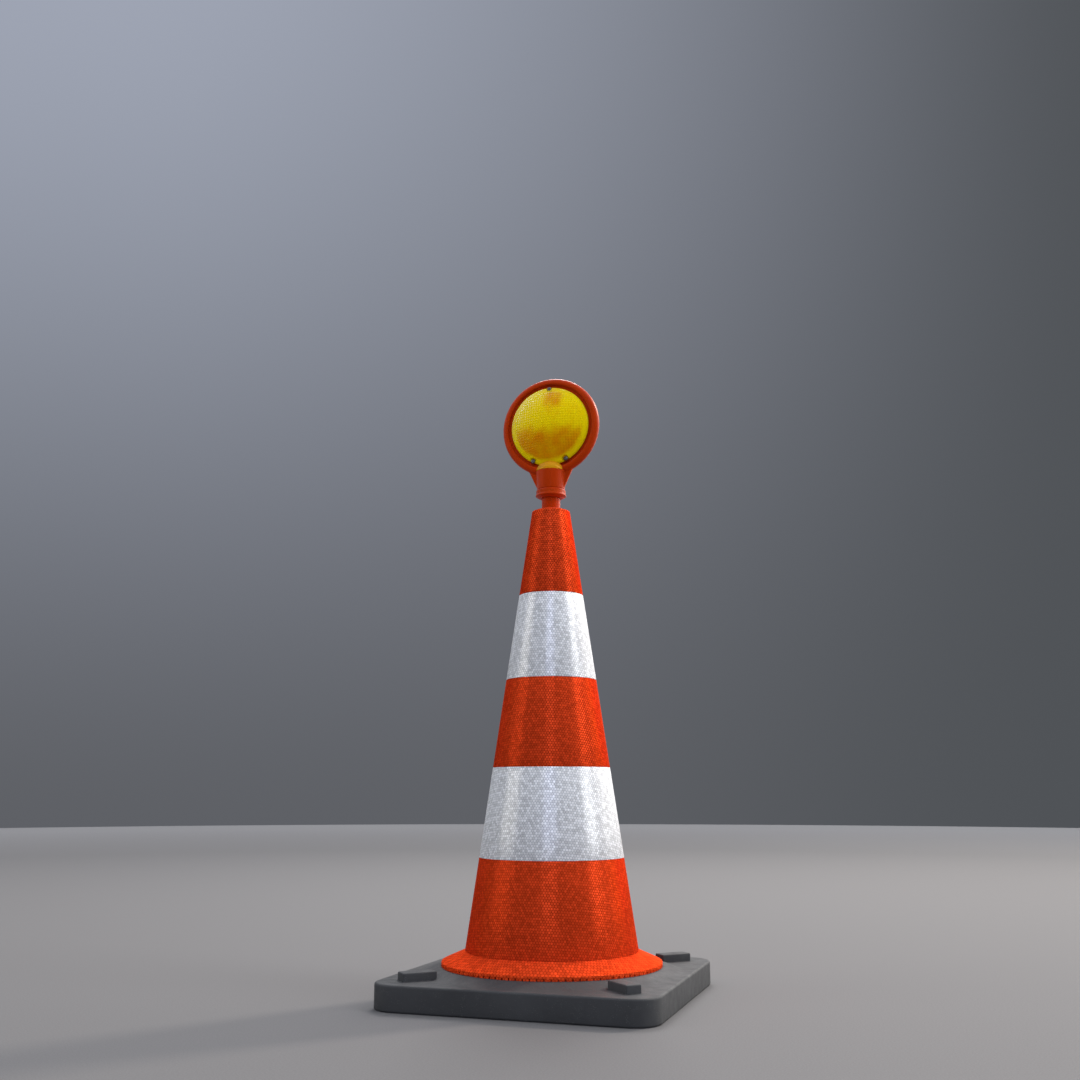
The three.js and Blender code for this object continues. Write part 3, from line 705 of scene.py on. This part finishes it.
def cone_body():
    """The moulded cone, hollow: top lip, seat for the film, kinked foot and flange with a notched rim."""
    low, high = shell_low.z, shell_high.z
    kink = low_band[0].z - 0.3 * MM
    rim_top = low + 6.5 * MM
    flange = shell_high.x
    seat_top = top_band[1].z + 0.3 * MM
    inside = [(wall_radius(z) - CONE_WALL, z) for z in (low, kink, high - 43 * MM)]
    outline = rounded([
        (THROAT, high, 0.8 * MM),
        (wall_radius(high), high, 2.2 * MM),
        (wall_radius(seat_top), seat_top),
        (wall_radius(seat_top) - FILM_SEAT, seat_top),
        (wall_radius(kink) - FILM_SEAT, kink),
        (wall_radius(kink) - 0.1 * MM, kink),
        (wall_radius(kink) + 4 * MM, kink - 1.6 * MM, 6 * MM),
        (flange, rim_top, 1.2 * MM),
        (flange, low + 3.6 * MM),
        (flange, low + 3.5 * MM),
        (flange, low, 0.4 * MM),
        (inside[0][0] - 2 * MM, low, 1 * MM),
        inside[1],
        (*inside[2], 4 * MM),
        (THROAT, high - 35 * MM, 2 * MM),
    ], 4)
    period = 2 * math.pi / RIM_NOTCHES
    columns = [period * (k + part) for k in range(RIM_NOTCHES) for part in (0, 0.02, 0.2, 0.22, 0.6)]

    def notch(radius, height, number):
        in_notch = number % 5 in (1, 2) and radius > flange - 2 * MM and height <= low + 3.5 * MM
        return (radius - (3.2 * MM if in_notch else 0), height)

    cone = lathe("cone_body", outline, columns=columns, bend=notch)
    unroll(cone, wall_slope, apex)
    screws = [
        cylinder("shank", SCREW_SHANK, low - 0.01, 55.3 * MM, spot.x, spot.y, 24)
        for spot in map(middle, FOOT_SCREWS)
    ]
    cut(cone, screws)
    return shown(cone, "cone_shell", "cone_stand", cone_plastic)


cone_body()
for band in ("orange_band_low", "orange_band_middle", "orange_band_top"):
    film_band(band, orange_film)
for band in ("white_band_low", "white_band_high"):
    film_band(band, white_film)


# ---- Socket bush, neck tube and collar ----

TUBE_RADIUS = 15.2 * MM
TUBE_BORE = 14 * MM
STEM_BORE = 15.7 * MM  # of the bush and collar, which the tube passes through
PIN_RISE = 3 * MM  # height of the cap's pins above the tube's foot
SLOT_HALF = 1.4 * MM


def bush():
    outer = THROAT - 0.3 * MM
    lip = bush_high.x
    seat = shell_high.z + 0.3 * MM
    outline = rounded([
        (STEM_BORE, bush_low.z),
        (outer, bush_low.z, 1 * MM),
        (outer, seat),
        (lip, seat, 0.4 * MM),
        (STEM_BORE + 1.3 * MM, bush_high.z, 1.5 * MM),
        (STEM_BORE, bush_high.z, 0.4 * MM),
    ])
    return shown(lathe("neck_bush", outline, bush_rubber, 128), "socket_bush", "socket")


def bayonet_slot(turn):
    """A slot to cut from the tube's foot: a mouth, and a quarter turn round the tube, as two tools."""
    inside, outside = TUBE_BORE - MM, TUBE_RADIUS + MM
    low = tube_low.z + PIN_RISE - SLOT_HALF
    sweep = [math.radians(a) for a in range(-5, 96, 4)]
    there = [(inside * math.cos(a), inside * math.sin(a)) for a in sweep]
    back = [(outside * math.cos(a), outside * math.sin(a)) for a in sweep[::-1]]
    ring = there + back
    count = len(ring)
    corners = [(x, y, z) for z in (low, low + 2 * SLOT_HALF) for x, y in ring]
    faces = [tuple(range(count)), tuple(range(count, 2 * count))]
    faces += [(k, (k + 1) % count, count + (k + 1) % count, count + k) for k in range(count)]
    mouth_low = (-SLOT_HALF, inside, tube_low.z - MM)
    mouth = box_solid("mouth", mouth_low, (SLOT_HALF, outside, low + SLOT_HALF))
    spin = Matrix.Rotation(math.radians(turn), 3, "Z")
    return [place(add("slot", corners, faces), turn=spin), place(mouth, turn=spin)]


def neck_tube():
    flange_foot = tube_high.z - 3.1 * MM
    tube = lathe("neck_tube", rounded([
        (TUBE_BORE, tube_low.z),
        (TUBE_RADIUS, tube_low.z, 0.4 * MM),
        (TUBE_RADIUS, flange_foot, 0.8 * MM),
        (tube_high.x, flange_foot, 0.5 * MM),
        (tube_high.x, tube_high.z, 0.5 * MM),
        (TUBE_BORE, tube_high.z),
    ]), columns=96)
    cut(tube, bayonet_slot(0) + bayonet_slot(180))
    return shown(tube, "battery_tube", "lamp", orange_plastic)


def collar():
    """The ring nut under the head, with three fine grip grooves round its side."""
    low, high = collar_low.z, collar_high.z
    lip = collar_high.x
    radius = lip - 0.9 * MM
    seat = tube_high.z - 3.4 * MM
    grooves = []
    for rise in (7.6 * MM, 9.2 * MM, 10.8 * MM):
        grooves += [(radius, low + rise - 0.5 * MM, 0.3 * MM), (radius - 0.35 * MM, low + rise, 0.2 * MM),
                    (radius, low + rise + 0.5 * MM, 0.3 * MM)]
    outline = rounded([
        (STEM_BORE, low, 0.6 * MM),
        (STEM_BORE + 2.8 * MM, low, 0.5 * MM),
        (lip, low + 3.6 * MM, 0.8 * MM),
        (lip, low + 5.2 * MM, 0.5 * MM),
        (radius, low + 6.4 * MM, 0.5 * MM),
        *grooves,
        (radius, high - 1.5 * MM, 0.8 * MM),
        (radius - 1.1 * MM, high, 0.5 * MM),
        (20.3 * MM, high),
        (20.3 * MM, seat),
        (STEM_BORE, seat),
    ])
    ring = lathe("ring_nut", outline, orange_plastic, 128)
    return shown(ring, "retaining_collar", "lamp")


bush()
neck_tube()
collar()


# ---- Lamp head ----

RING_INNER = 73 * MM
RING_HALF = 8 * MM
SHELF_INNER = 61 * MM
SHELF_HALF = 2 * MM
POST = 24.4 * MM  # radius at the top, from which it narrows to its foot
POST_NARROW = 22.8 * MM
POST_CAVITY = 20.5 * MM
POST_TOP = window_low.z - 0.3 * MM
POST_FOOT = collar_high.z + 0.3 * MM
WEB_HALF = 3 * MM
WEB_TOP = 37.5 * MM  # half its width, as is the next
WEB_FOOT = 23.4 * MM
DOME_HEIGHT = 18 * MM
AMBER_WALL = 2.5 * MM
EAR_ROOM = 5.8 * MM  # radius of the recess for each ear of a lens
BOLT_HOLE = 2.2 * MM
LENS_SKIRT = 5.2 * MM
LENS_SHOULDER = 5 * MM
SHOULDER_STEPS = 8
SWITCH_Z = (bezel_low.z + bezel_high.z) / 2


def bolt_places():
    return [middle(name) for name in BOLTS]


def dome_outline(radius, height):
    turns = [math.pi / 32 * i for i in range(16)]
    return [(0, 0)] + [(radius * math.cos(t), height * math.sin(t)) for t in turns] + [(0, height)]


def sphere_radius(rim, apex_forward):
    """The radius of the sphere through a dome's rim, a (radius, forward) point, and its apex."""
    sagitta = apex_forward - rim[1]
    return (rim[0] ** 2 + sagitta**2) / (2 * sagitta)


def lens_outline(grow, seat):
    """The lens's face as (radius, forward) points, moved outwards by grow: skirt, round shoulder, dome."""
    apex_forward = -lens_low.y + grow
    side = arc((lens_radius - LENS_SHOULDER, LENS_SKIRT), LENS_SHOULDER + grow, 0, 60, SHOULDER_STEPS)
    rim = side[-1]
    sphere = sphere_radius(rim, apex_forward)
    top = math.asin(rim[0] / sphere)
    turns = [top * (1 - i / 20) for i in range(1, 20)]
    dome = [(sphere * math.sin(t), apex_forward - sphere * (1 - math.cos(t))) for t in turns]
    return [(0, seat), (lens_radius + grow, seat)] + side + dome + [(0, apex_forward)]


def head_room(side, grow=0.5 * MM):
    """The room that a lens and the ring take in front of the post."""
    lens_part = place(lathe("room", lens_outline(grow, 0), columns=128), lens_centre, facing(side))
    ring_part = cross_cylinder("room", ring_radius + MM, 0, RING_HALF + grow, 0, lens_centre.z, side, 128)
    return [lens_part, ring_part]


def post_half(side):
    reach, near = 40 * MM, 3 * MM
    low, high = sorted((side * near, side * reach))
    return box_solid("half", (-reach, low, POST_TOP - 20 * MM), (reach, high, POST_TOP + 34 * MM))


def housing():
    edge = 1.5 * MM
    flat = RING_HALF - edge
    shelf = [(RING_INNER, SHELF_HALF), (SHELF_INNER, SHELF_HALF)]
    shelf += [(radius, -forward) for radius, forward in shelf[::-1]]
    ring_outline = (
        arc((ring_radius - RING_HALF, 0), RING_HALF, 0, 90, 16)
        + arc((RING_INNER + edge, flat), edge, 90, 180, 6)
        + shelf
        + arc((RING_INNER + edge, -flat), edge, 180, 270, 6)
        + arc((ring_radius - RING_HALF, 0), RING_HALF, 270, 354, 15)
    )
    body = place(lathe("head_housing", ring_outline, columns=192), lens_centre, facing(FRONT))
    top, foot = POST_TOP + 2 * MM, POST_FOOT + 4 * MM
    web_corners = [(-WEB_TOP, top), (-WEB_FOOT, foot), (WEB_FOOT, foot), (WEB_TOP, top)]
    vertices = [(x, y, z) for y in (-WEB_HALF, WEB_HALF) for x, z in web_corners]
    sides = [(k, (k + 1) % 4, 4 + (k + 1) % 4, 4 + k) for k in range(4)]
    web = add("web", vertices, [(0, 1, 2, 3), (4, 5, 6, 7), *sides])
    post_outline = [(0, POST_FOOT), (POST_NARROW, POST_FOOT, MM), (POST, POST_TOP), (0, POST_TOP)]
    post = lathe("post", rounded(post_outline), columns=96)
    spigot = cylinder("spigot", 20 * MM, POST_FOOT - 6 * MM, POST_FOOT + MM, columns=96)
    boss = cross_cylinder("boss", 10.5 * MM, 14 * MM, ring_high.y, 0, SWITCH_Z, REAR)
    wells = [
        cross_cylinder("well", RING_INNER, SHELF_HALF, RING_HALF + 3 * MM, 0, lens_centre.z, side, 192)
        for side in (FRONT, REAR)
    ]
    combine(body, "UNION", [web, post])
    cut(body, wells)
    dome = place(lathe("dome", dome_outline(POST, DOME_HEIGHT), columns=96), (0, 0, POST_TOP - 0.01 * MM))
    combine(dome, "INTERSECT", [post_half(REAR)])
    cut(dome, head_room(REAR))
    combine(body, "UNION", [dome, spigot, boss])
    ledge = middle("driver_board").z - MM
    slot = middle("led_board")
    cuts = [
        cylinder("cavity", POST_CAVITY, ledge, POST_TOP - 3 * MM, columns=96),
        cylinder("foot", 16.5 * MM, POST_FOOT, ledge + MM, columns=64),
        cylinder("cable", 11 * MM, POST_FOOT - 7 * MM, POST_FOOT + MM),
        cylinder("sensor", 3.2 * MM, POST_TOP - 4 * MM, POST_TOP + MM, 0, middle("light_sensor").y, 24),
        cross_cylinder("switch", 6.6 * MM, 10 * MM, ring_high.y + MM, 0, SWITCH_Z, REAR),
        box_solid("slot", (-13 * MM, -2.2 * MM, POST_TOP - 4 * MM), (13 * MM, 2.2 * MM, slot.z - 10 * MM)),
    ]
    for spot in bolt_places():
        cuts.append(cross_cylinder("bolt", BOLT_HOLE, -20 * MM, 20 * MM, spot.x, spot.z, FRONT, 24))
        for side in (FRONT, REAR):
            cuts.append(cross_cylinder("ear", EAR_ROOM, SHELF_HALF, 20 * MM, spot.x, spot.z, side, 32))
    cut(body, cuts)
    melt(body, 0.8 * MM, 4)
    return shown(body, "lamp_housing", "lamp", orange_plastic)


PRISM = {"pitch": 4.4 * MM, "rise": 0.3 * MM, "depth": 0.6 * MM, "radius": 59.5 * MM}


def prism_field(wall):
    """A curved plate of small pyramids to join to a lens's dome: low ones outside, deeper ones inside."""
    step = PRISM["pitch"] / 2
    reach = int(PRISM["radius"] / step) + 2
    span = range(-reach, reach + 1)
    sheets = []
    for grow, height in ((0, PRISM["rise"]), (-wall, -PRISM["depth"])):
        outline = lens_outline(grow, 0)
        crown = outline[-1][1]
        sphere = sphere_radius(outline[2 + SHOULDER_STEPS], crown)
        for i, j in ((i, j) for i in span for j in span):
            x, y = i * step, j * step
            forward = crown - sphere + math.sqrt(max(sphere**2 - x**2 - y**2, 0))
            sheets.append((x, y, forward + height * (i % 2 + j % 2)))
    width = len(span)
    count = width * width
    faces = []
    for a in (i * width + j for i in range(width - 1) for j in range(width - 1)):
        square = (a, a + 1, a + width + 1, a + width)
        faces += [square, tuple(count + k for k in square)]
    last = width * (width - 1)
    rim_edges = [(k, k + 1) for k in range(width - 1)] + [(last + k, last + k + 1) for k in range(width - 1)]
    for k in range(0, last, width):
        rim_edges += [(k, k + width), (k + width - 1, k + 2 * width - 1)]
    faces += [(a, b, count + b, count + a) for a, b in rim_edges]
    return add("flutes", sheets, faces, smooth=5)


def lens(name, node):
    """A domed lens with prisms on both sides, a smooth border, and an ear in a well for each bolt, the well
    and ear in a darker amber that paints shade into the recess.
    """
    seat = -lens_high.y
    ear_face = seat + 2 * MM
    shell = lathe(name, lens_outline(0, seat), amber_lens, columns=192)
    hollow = lathe("hollow", lens_outline(-AMBER_WALL, seat - MM), lens_facets, columns=192)
    prisms = prism_field(AMBER_WALL)
    prisms.data.materials.append(amber_lens)
    combine(prisms, "INTERSECT", [cylinder("disc", PRISM["radius"], 0, 60 * MM, columns=128)], 5)
    cut(shell, [hollow])
    combine(shell, "UNION", [prisms])
    turn = facing(FRONT)
    place(shell, lens_centre, turn)
    places = [(spot.x, spot.z, FRONT) for spot in bolt_places()]
    bosses = join("bosses", [cross_cylinder("boss", EAR_ROOM, seat, 30 * MM, *at) for at in places])
    solid = place(lathe("solid", lens_outline(0, seat), columns=192), lens_centre, turn)
    combine(bosses, "INTERSECT", [solid])
    ears = join("ears", [cross_cylinder("ear", 5.2 * MM, seat, ear_face, *at) for at in places])
    wells = join("wells", [cross_cylinder("well", 4.6 * MM, ear_face, 40 * MM, *at) for at in places])
    # The wells and ears take the darker amber: painted shade in the recesses.
    for piece in (ears, wells):
        piece.data.materials.clear()
        piece.data.materials.append(painted_shade_amber)
    holes = join("holes", [cross_cylinder("hole", BOLT_HOLE, 0, 40 * MM, *at, 24) for at in places])
    combine(shell, "UNION", [bosses, ears])
    cut(shell, [wells, holes], 4)
    return shown(shell, node, "lamp")


def turned_copy(piece, name, node):
    """The same piece at the back: the places of the bolts match, left and right."""
    copy = bpy.data.objects.new(name, piece.data.copy())
    bpy.context.scene.collection.objects.link(copy)
    place(copy, turn=Matrix.Rotation(math.pi, 3, "Z"))
    return shown(copy, node, "lamp")


def sensor_dome():
    radius = POST - 0.2 * MM
    shell = lathe("sensor_dome", dome_outline(radius, DOME_HEIGHT), columns=96)
    hollow = lathe("hollow", dome_outline(radius - AMBER_WALL, DOME_HEIGHT - AMBER_WALL), columns=96)
    place(hollow, (0, 0, -0.5 * MM))
    cut(shell, [hollow])
    place(shell, (0, 0, window_low.z))
    combine(shell, "INTERSECT", [post_half(FRONT)])
    cut(shell, head_room(FRONT), 30)
    return shown(shell, "sensor_window", "lamp", amber_window)


def reflector(name, node, side):
    """A shallow, bright dish with fine concentric steps."""
    low = 2.15 * MM
    thick = MM
    steps = 14
    inner, outer, rim = 6.4 * MM, 53 * MM, 66.5 * MM
    tread = (outer - inner) / steps
    front = []
    for i in range(steps):
        share = i / steps
        radius = inner + (outer - inner) * share
        front.append((radius, 1.1 * MM + thick + share * 0.8 * MM))
        front.append((radius + tread * 0.8, 1.6 * MM + thick + share * 0.6 * MM))
    edge = [(outer, low + thick), (rim, low + thick), (rim, low), (outer, low)]
    outline = [(inner, 1.1 * MM)] + front + edge
    dish = place(lathe(name, outline, columns=128, smooth=20), lens_centre, facing(side))
    holes = [cross_cylinder("hole", 2.4 * MM, 0, 9 * MM, spot.x, spot.z, side, 24) for spot in bolt_places()]
    cut(dish, holes, 20)
    return shown(dish, node, "lamp", reflector_plastic)


def cross_recess(reach, half, low, high):
    """Two crossed bars to cut from a screw's head."""
    return [
        box_solid("arm", (-reach, -half, low), (reach, half, high)),
        box_solid("arm", (-half, -reach, low), (half, reach, high)),
    ]


def bolt(name, node):
    """A pan-head machine screw with a cross recess, along the lens axis."""
    low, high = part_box(node)
    spot = middle(node)
    face = -low.y - 2.6 * MM
    crown = -low.y
    outline = rounded([
        (0, -high.y),
        (1.9 * MM, -high.y, 0.4 * MM),
        (1.9 * MM, face),
        (3.6 * MM, face, 0.3 * MM),
        (3.6 * MM, crown - 0.4 * MM, 1.4 * MM),
        (0, crown),
    ])
    screw = lathe(name, outline, columns=48)
    cut(screw, cross_recess(2 * MM, 0.35 * MM, crown - 1.2 * MM, crown + MM))
    place(screw, (spot.x, 0, spot.z), facing(FRONT))
    return shown(screw, node, "lamp", screw_steel)


def nut(name, node):
    """A chamfered hexagon nut."""
    low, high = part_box(node)
    spot = middle(node)
    radius = 3.9 * MM
    hexagon = lathe(name, [(0, low.y), (radius, low.y), (radius, high.y), (0, high.y)], columns=6)
    chamfer = lathe("chamfer", rounded([
        (0, low.y),
        (radius * 0.9, low.y),
        (radius, low.y + 0.5 * MM),
        (radius, high.y - 0.5 * MM),
        (radius * 0.9, high.y),
        (0, high.y),
    ]), columns=48)
    combine(hexagon, "INTERSECT", [chamfer])
    cut(hexagon, [cylinder("bore", 2.1 * MM, 0, 20 * MM, columns=32)])
    place(hexagon, (spot.x, 0, spot.z), facing(REAR))
    return shown(hexagon, node, "lamp", plated_steel)


housing()
front_amber = lens("front_amber_lens", "front_lens")
turned_copy(front_amber, "rear_amber_lens", "rear_lens")
reflector("front_dish", "front_reflector", FRONT)
reflector("rear_dish", "rear_reflector", REAR)
sensor_dome()
for number, node in enumerate(BOLTS, 1):
    bolt(f"lens_screw_{number}", node)
for number, node in enumerate(NUTS, 1):
    nut(f"hex_nut_{number}", node)


# ---- Switch, battery cap and base screws ----


def switch():
    face = bezel_high.y
    seat = face - 2 * MM
    ring = lathe("switch_ring", rounded([
        (5.2 * MM, bezel_low.y),
        (6.2 * MM, bezel_low.y),
        (6.2 * MM, seat),
        (9 * MM, seat, 0.4 * MM),
        (8.3 * MM, face, 0.7 * MM),
        (5.2 * MM, face, 0.5 * MM),
    ]), columns=72)
    place(ring, (0, 0, SWITCH_Z), facing(REAR))
    shown(ring, "switch_bezel", "lamp", black_plastic)
    tip = button_high.y
    boot = lathe("push_button", rounded([
        (0, button_low.y),
        (4.9 * MM, button_low.y),
        (4.9 * MM, tip - 0.2 * MM, 1.2 * MM),
        (2.6 * MM, tip, 0.6 * MM),
        (2.2 * MM, tip - 0.5 * MM, 0.4 * MM),
        (0, tip - 0.6 * MM),
    ]), columns=64)
    place(boot, (0, 0, SWITCH_Z), facing(REAR))
    shown(boot, "switch_button", "button", seal_rubber)


def battery_cap():
    foot, top = cap_low.z, cap_high.z
    outer, plug = TUBE_RADIUS, 13.7 * MM
    shoulder = tube_low.z - 0.2 * MM
    body = lathe("coin_cap", rounded([
        (0, foot),
        (outer, foot, 1.4 * MM),
        (outer, shoulder, 0.4 * MM),
        (plug, shoulder),
        (plug, tube_low.z + 5.5 * MM),
        (plug - 0.9 * MM, tube_low.z + 5.5 * MM),
        (plug - 0.9 * MM, tube_low.z + 7.5 * MM),
        (plug, tube_low.z + 7.5 * MM),
        (plug, top, 0.6 * MM),
        (0, top),
    ]), columns=96)
    sideways = Matrix.Rotation(math.radians(90), 3, "Y")
    pins = cylinder("pins", 1.1 * MM, -15 * MM, 15 * MM, columns=24)
    place(pins, (0, 0, tube_low.z + PIN_RISE), sideways)
    combine(body, "UNION", [pins])
    coin = box_solid("coin", (-11 * MM, -1.2 * MM, foot - MM), (11 * MM, 1.2 * MM, foot + 3 * MM), 0.4 * MM)
    flutes = []
    for x, y in arc((0, 0), outer + 0.5 * MM, 0, 342, 19):
        flutes.append(cylinder("flute", 0.9 * MM, foot - MM, shoulder - 1.5 * MM, x, y, 16))
    cut(body, [coin, *flutes])
    return shown(body, "battery_cap", "battery_door", black_plastic)


def base_screw(name, node):
    low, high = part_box(node)
    spot = middle(node)
    outline = rounded([
        (0, low.z),
        (6 * MM, low.z, 1.6 * MM),
        (6 * MM, low.z + 3.5 * MM, 0.3 * MM),
        (2.5 * MM, low.z + 3.5 * MM),
        (2.5 * MM, high.z - 4 * MM),
        (0, high.z),
    ])
    screw = lathe(name, outline, columns=48)
    cut(screw, cross_recess(3 * MM, 0.5 * MM, low.z - MM, low.z + 1.8 * MM))
    place(screw, (spot.x, spot.y, 0))
    return shown(screw, node, "cone_stand", plated_steel)


switch()
battery_cap()
for number, node in enumerate(FOOT_SCREWS, 1):
    base_screw(f"foot_screw_{number}", node)


# ---- Finishes of the CAD nodes that stay ----

FINISH = {
    "circuit_board": board_green,
    "black_plastic": black_plastic,
    "seal_rubber": seal_rubber,
    "amber_lens": amber_lens,
    "contact_brass": contact_brass,
    "plated_steel": plated_steel,
    "cell_jacket": battery_jacket,
    "red_cable": red_cable,
}
for part in frame["record"]["subparts"]:
    node = frame["nodes"][part["node"]]
    if part["material_slot"] in FINISH and not node.hide_render:
        node.data.materials.clear()
        node.data.materials.append(FINISH[part["material_slot"]])


# ---- Stage: floor, light and camera ----

FLOOR_RADIUS = 9.1
AIM = Vector((0, 0, 0.5))


def stage_floor():
    rim = [(FLOOR_RADIUS * x, FLOOR_RADIUS * y, 0) for x, y in arc((0, 0), 1, 0, 357, 119)]
    floor = add("floor", rim, [tuple(range(len(rim)))])
    shader = Shader("floor")
    speck = shader.ramp(shader.noise(420, 3), 0.35, 0.65, 0.93, 1.07)
    # Painted light: the floor's colour grows lighter towards its far edge, and from here on speck carries it
    # too.
    painted_far_light = shader.ramp(shader.vector("LENGTH", shader.position()), 4.5, 8, 0.95, 1.5)
    speck = shader.times(speck, painted_far_light)
    tone = shader.scale(colour(*FLOOR_TONE)[:3], speck)
    floor.data.materials.append(shader.end(Base_Color=tone, Roughness=0.85, Specular_IOR_Level=0.15))


FLOOR_TONE = (114, 113, 114)
BACKDROP = {"low": (94, 96, 101), "glow": (160, 166, 181), "right": (80, 83, 87)}
ROOM = {"horizon": (136, 138, 143), "zenith": (222, 228, 238)}
# Soft boxes round the object: direction and half width in degrees, colour and brightness.
SOFT_BOXES = (
    (-151, 14, (255, 250, 238), 1.05),
    (-75, 10, (214, 222, 255), 1.45),
    (0, 11, (255, 255, 255), 2.5),
    (58, 36, (255, 250, 244), 1.6),
)


def sky():
    """A grey-blue backdrop that only the camera sees, lighter at its top left, and a studio round it."""
    world = bpy.data.worlds.new("studio")
    bpy.context.scene.world = world
    world.use_nodes = True
    tree = world.node_tree
    graph = Graph(tree)

    def soft(value, low, high):
        return graph.ramp(value, low, high, smooth=True)

    where = graph.node("TexCoord")
    picture = graph.node("SeparateXYZ", {"Vector": where.outputs["Window"]})
    across, up = picture.outputs["X"], picture.outputs["Y"]
    low, right, bright = (colour(*BACKDROP[key]) for key in ("low", "right", "glow"))
    glow = graph.times(soft(up, 0.2, 1.1), soft(across, 1.1, 0.1))
    seen = graph.mix(glow, graph.mix(soft(across, 0.4, 1.0), low, right), bright)

    direction = where.outputs["Generated"]
    height = graph.node("SeparateXYZ", {"Vector": direction}).outputs["Z"]
    room = graph.mix(soft(height, 0.0, 0.9), colour(*ROOM["horizon"]), colour(*ROOM["zenith"]))
    level = graph.vector("NORMALIZE", graph.vector("MULTIPLY", direction, (1.0, 1.0, 0.0)))
    tall = graph.times(soft(height, -0.05, 0.05), soft(height, 0.95, 0.6))
    for azimuth, half_width, tint, brightness in SOFT_BOXES:
        turn = math.radians(azimuth)
        near = graph.vector("DOT_PRODUCT", level, (math.cos(turn), math.sin(turn), 0.0))
        edges = (math.cos(math.radians(half_width * wide)) for wide in (1.35, 0.65))
        share = graph.times(graph.times(soft(near, *edges), tall), brightness)
        room = graph.mix(share, room, colour(*tint), blend_type="ADD", clamp_factor=False)

    lighting, backdrop = tree.nodes["Background"], graph.node("Background", {"Color": seen})
    graph.set(lighting.inputs["Color"], room)
    direct = graph.node("LightPath").outputs["Is Camera Ray"]
    chooser = graph.node("MixShader", {0: direct, 1: lighting.outputs[0], 2: backdrop.outputs[0]})
    graph.set(tree.nodes["World Output"].inputs["Surface"], chooser.outputs[0])


def around(azimuth, elevation, distance):
    """A place seen from the cone, with its direction in degrees from +X towards +Y."""
    a, e = math.radians(azimuth), math.radians(elevation)
    return AIM + Vector((math.cos(a) * math.cos(e), math.sin(a) * math.cos(e), math.sin(e))) * distance


def area_light(name, spot, size, power, tint):
    data = bpy.data.lights.new(name, "AREA")
    data.size = size
    data.energy = power
    data.color = tint
    light = bpy.data.objects.new(name, data)
    light.location = spot
    light.rotation_euler = (AIM - spot).to_track_quat("-Z", "Y").to_euler()
    bpy.context.scene.collection.objects.link(light)


def lights():
    area_light("key", around(54, 36, 6), 0.6, 215, (1.0, 0.9, 0.78))
    area_light("back", around(106, 52, 4), 1.3, 90, (1.0, 0.98, 0.96))
    area_light("side", around(2, 48, 4), 1.6, 20, (1.0, 0.96, 0.92))


def camera():
    data = bpy.data.cameras.new("camera")
    data.sensor_width = 36.0
    data.lens = 39.32
    viewpoint = bpy.data.objects.new("camera", data)
    viewpoint.location = (0.5867, -1.8001, 0.3056)
    viewpoint.rotation_euler = (math.radians(90 + 11.95), 0, math.radians(18.6))
    bpy.context.scene.collection.objects.link(viewpoint)
    bpy.context.scene.camera = viewpoint
    bpy.context.scene.view_settings.view_transform = "Standard"


stage_floor()
sky()
lights()
camera()
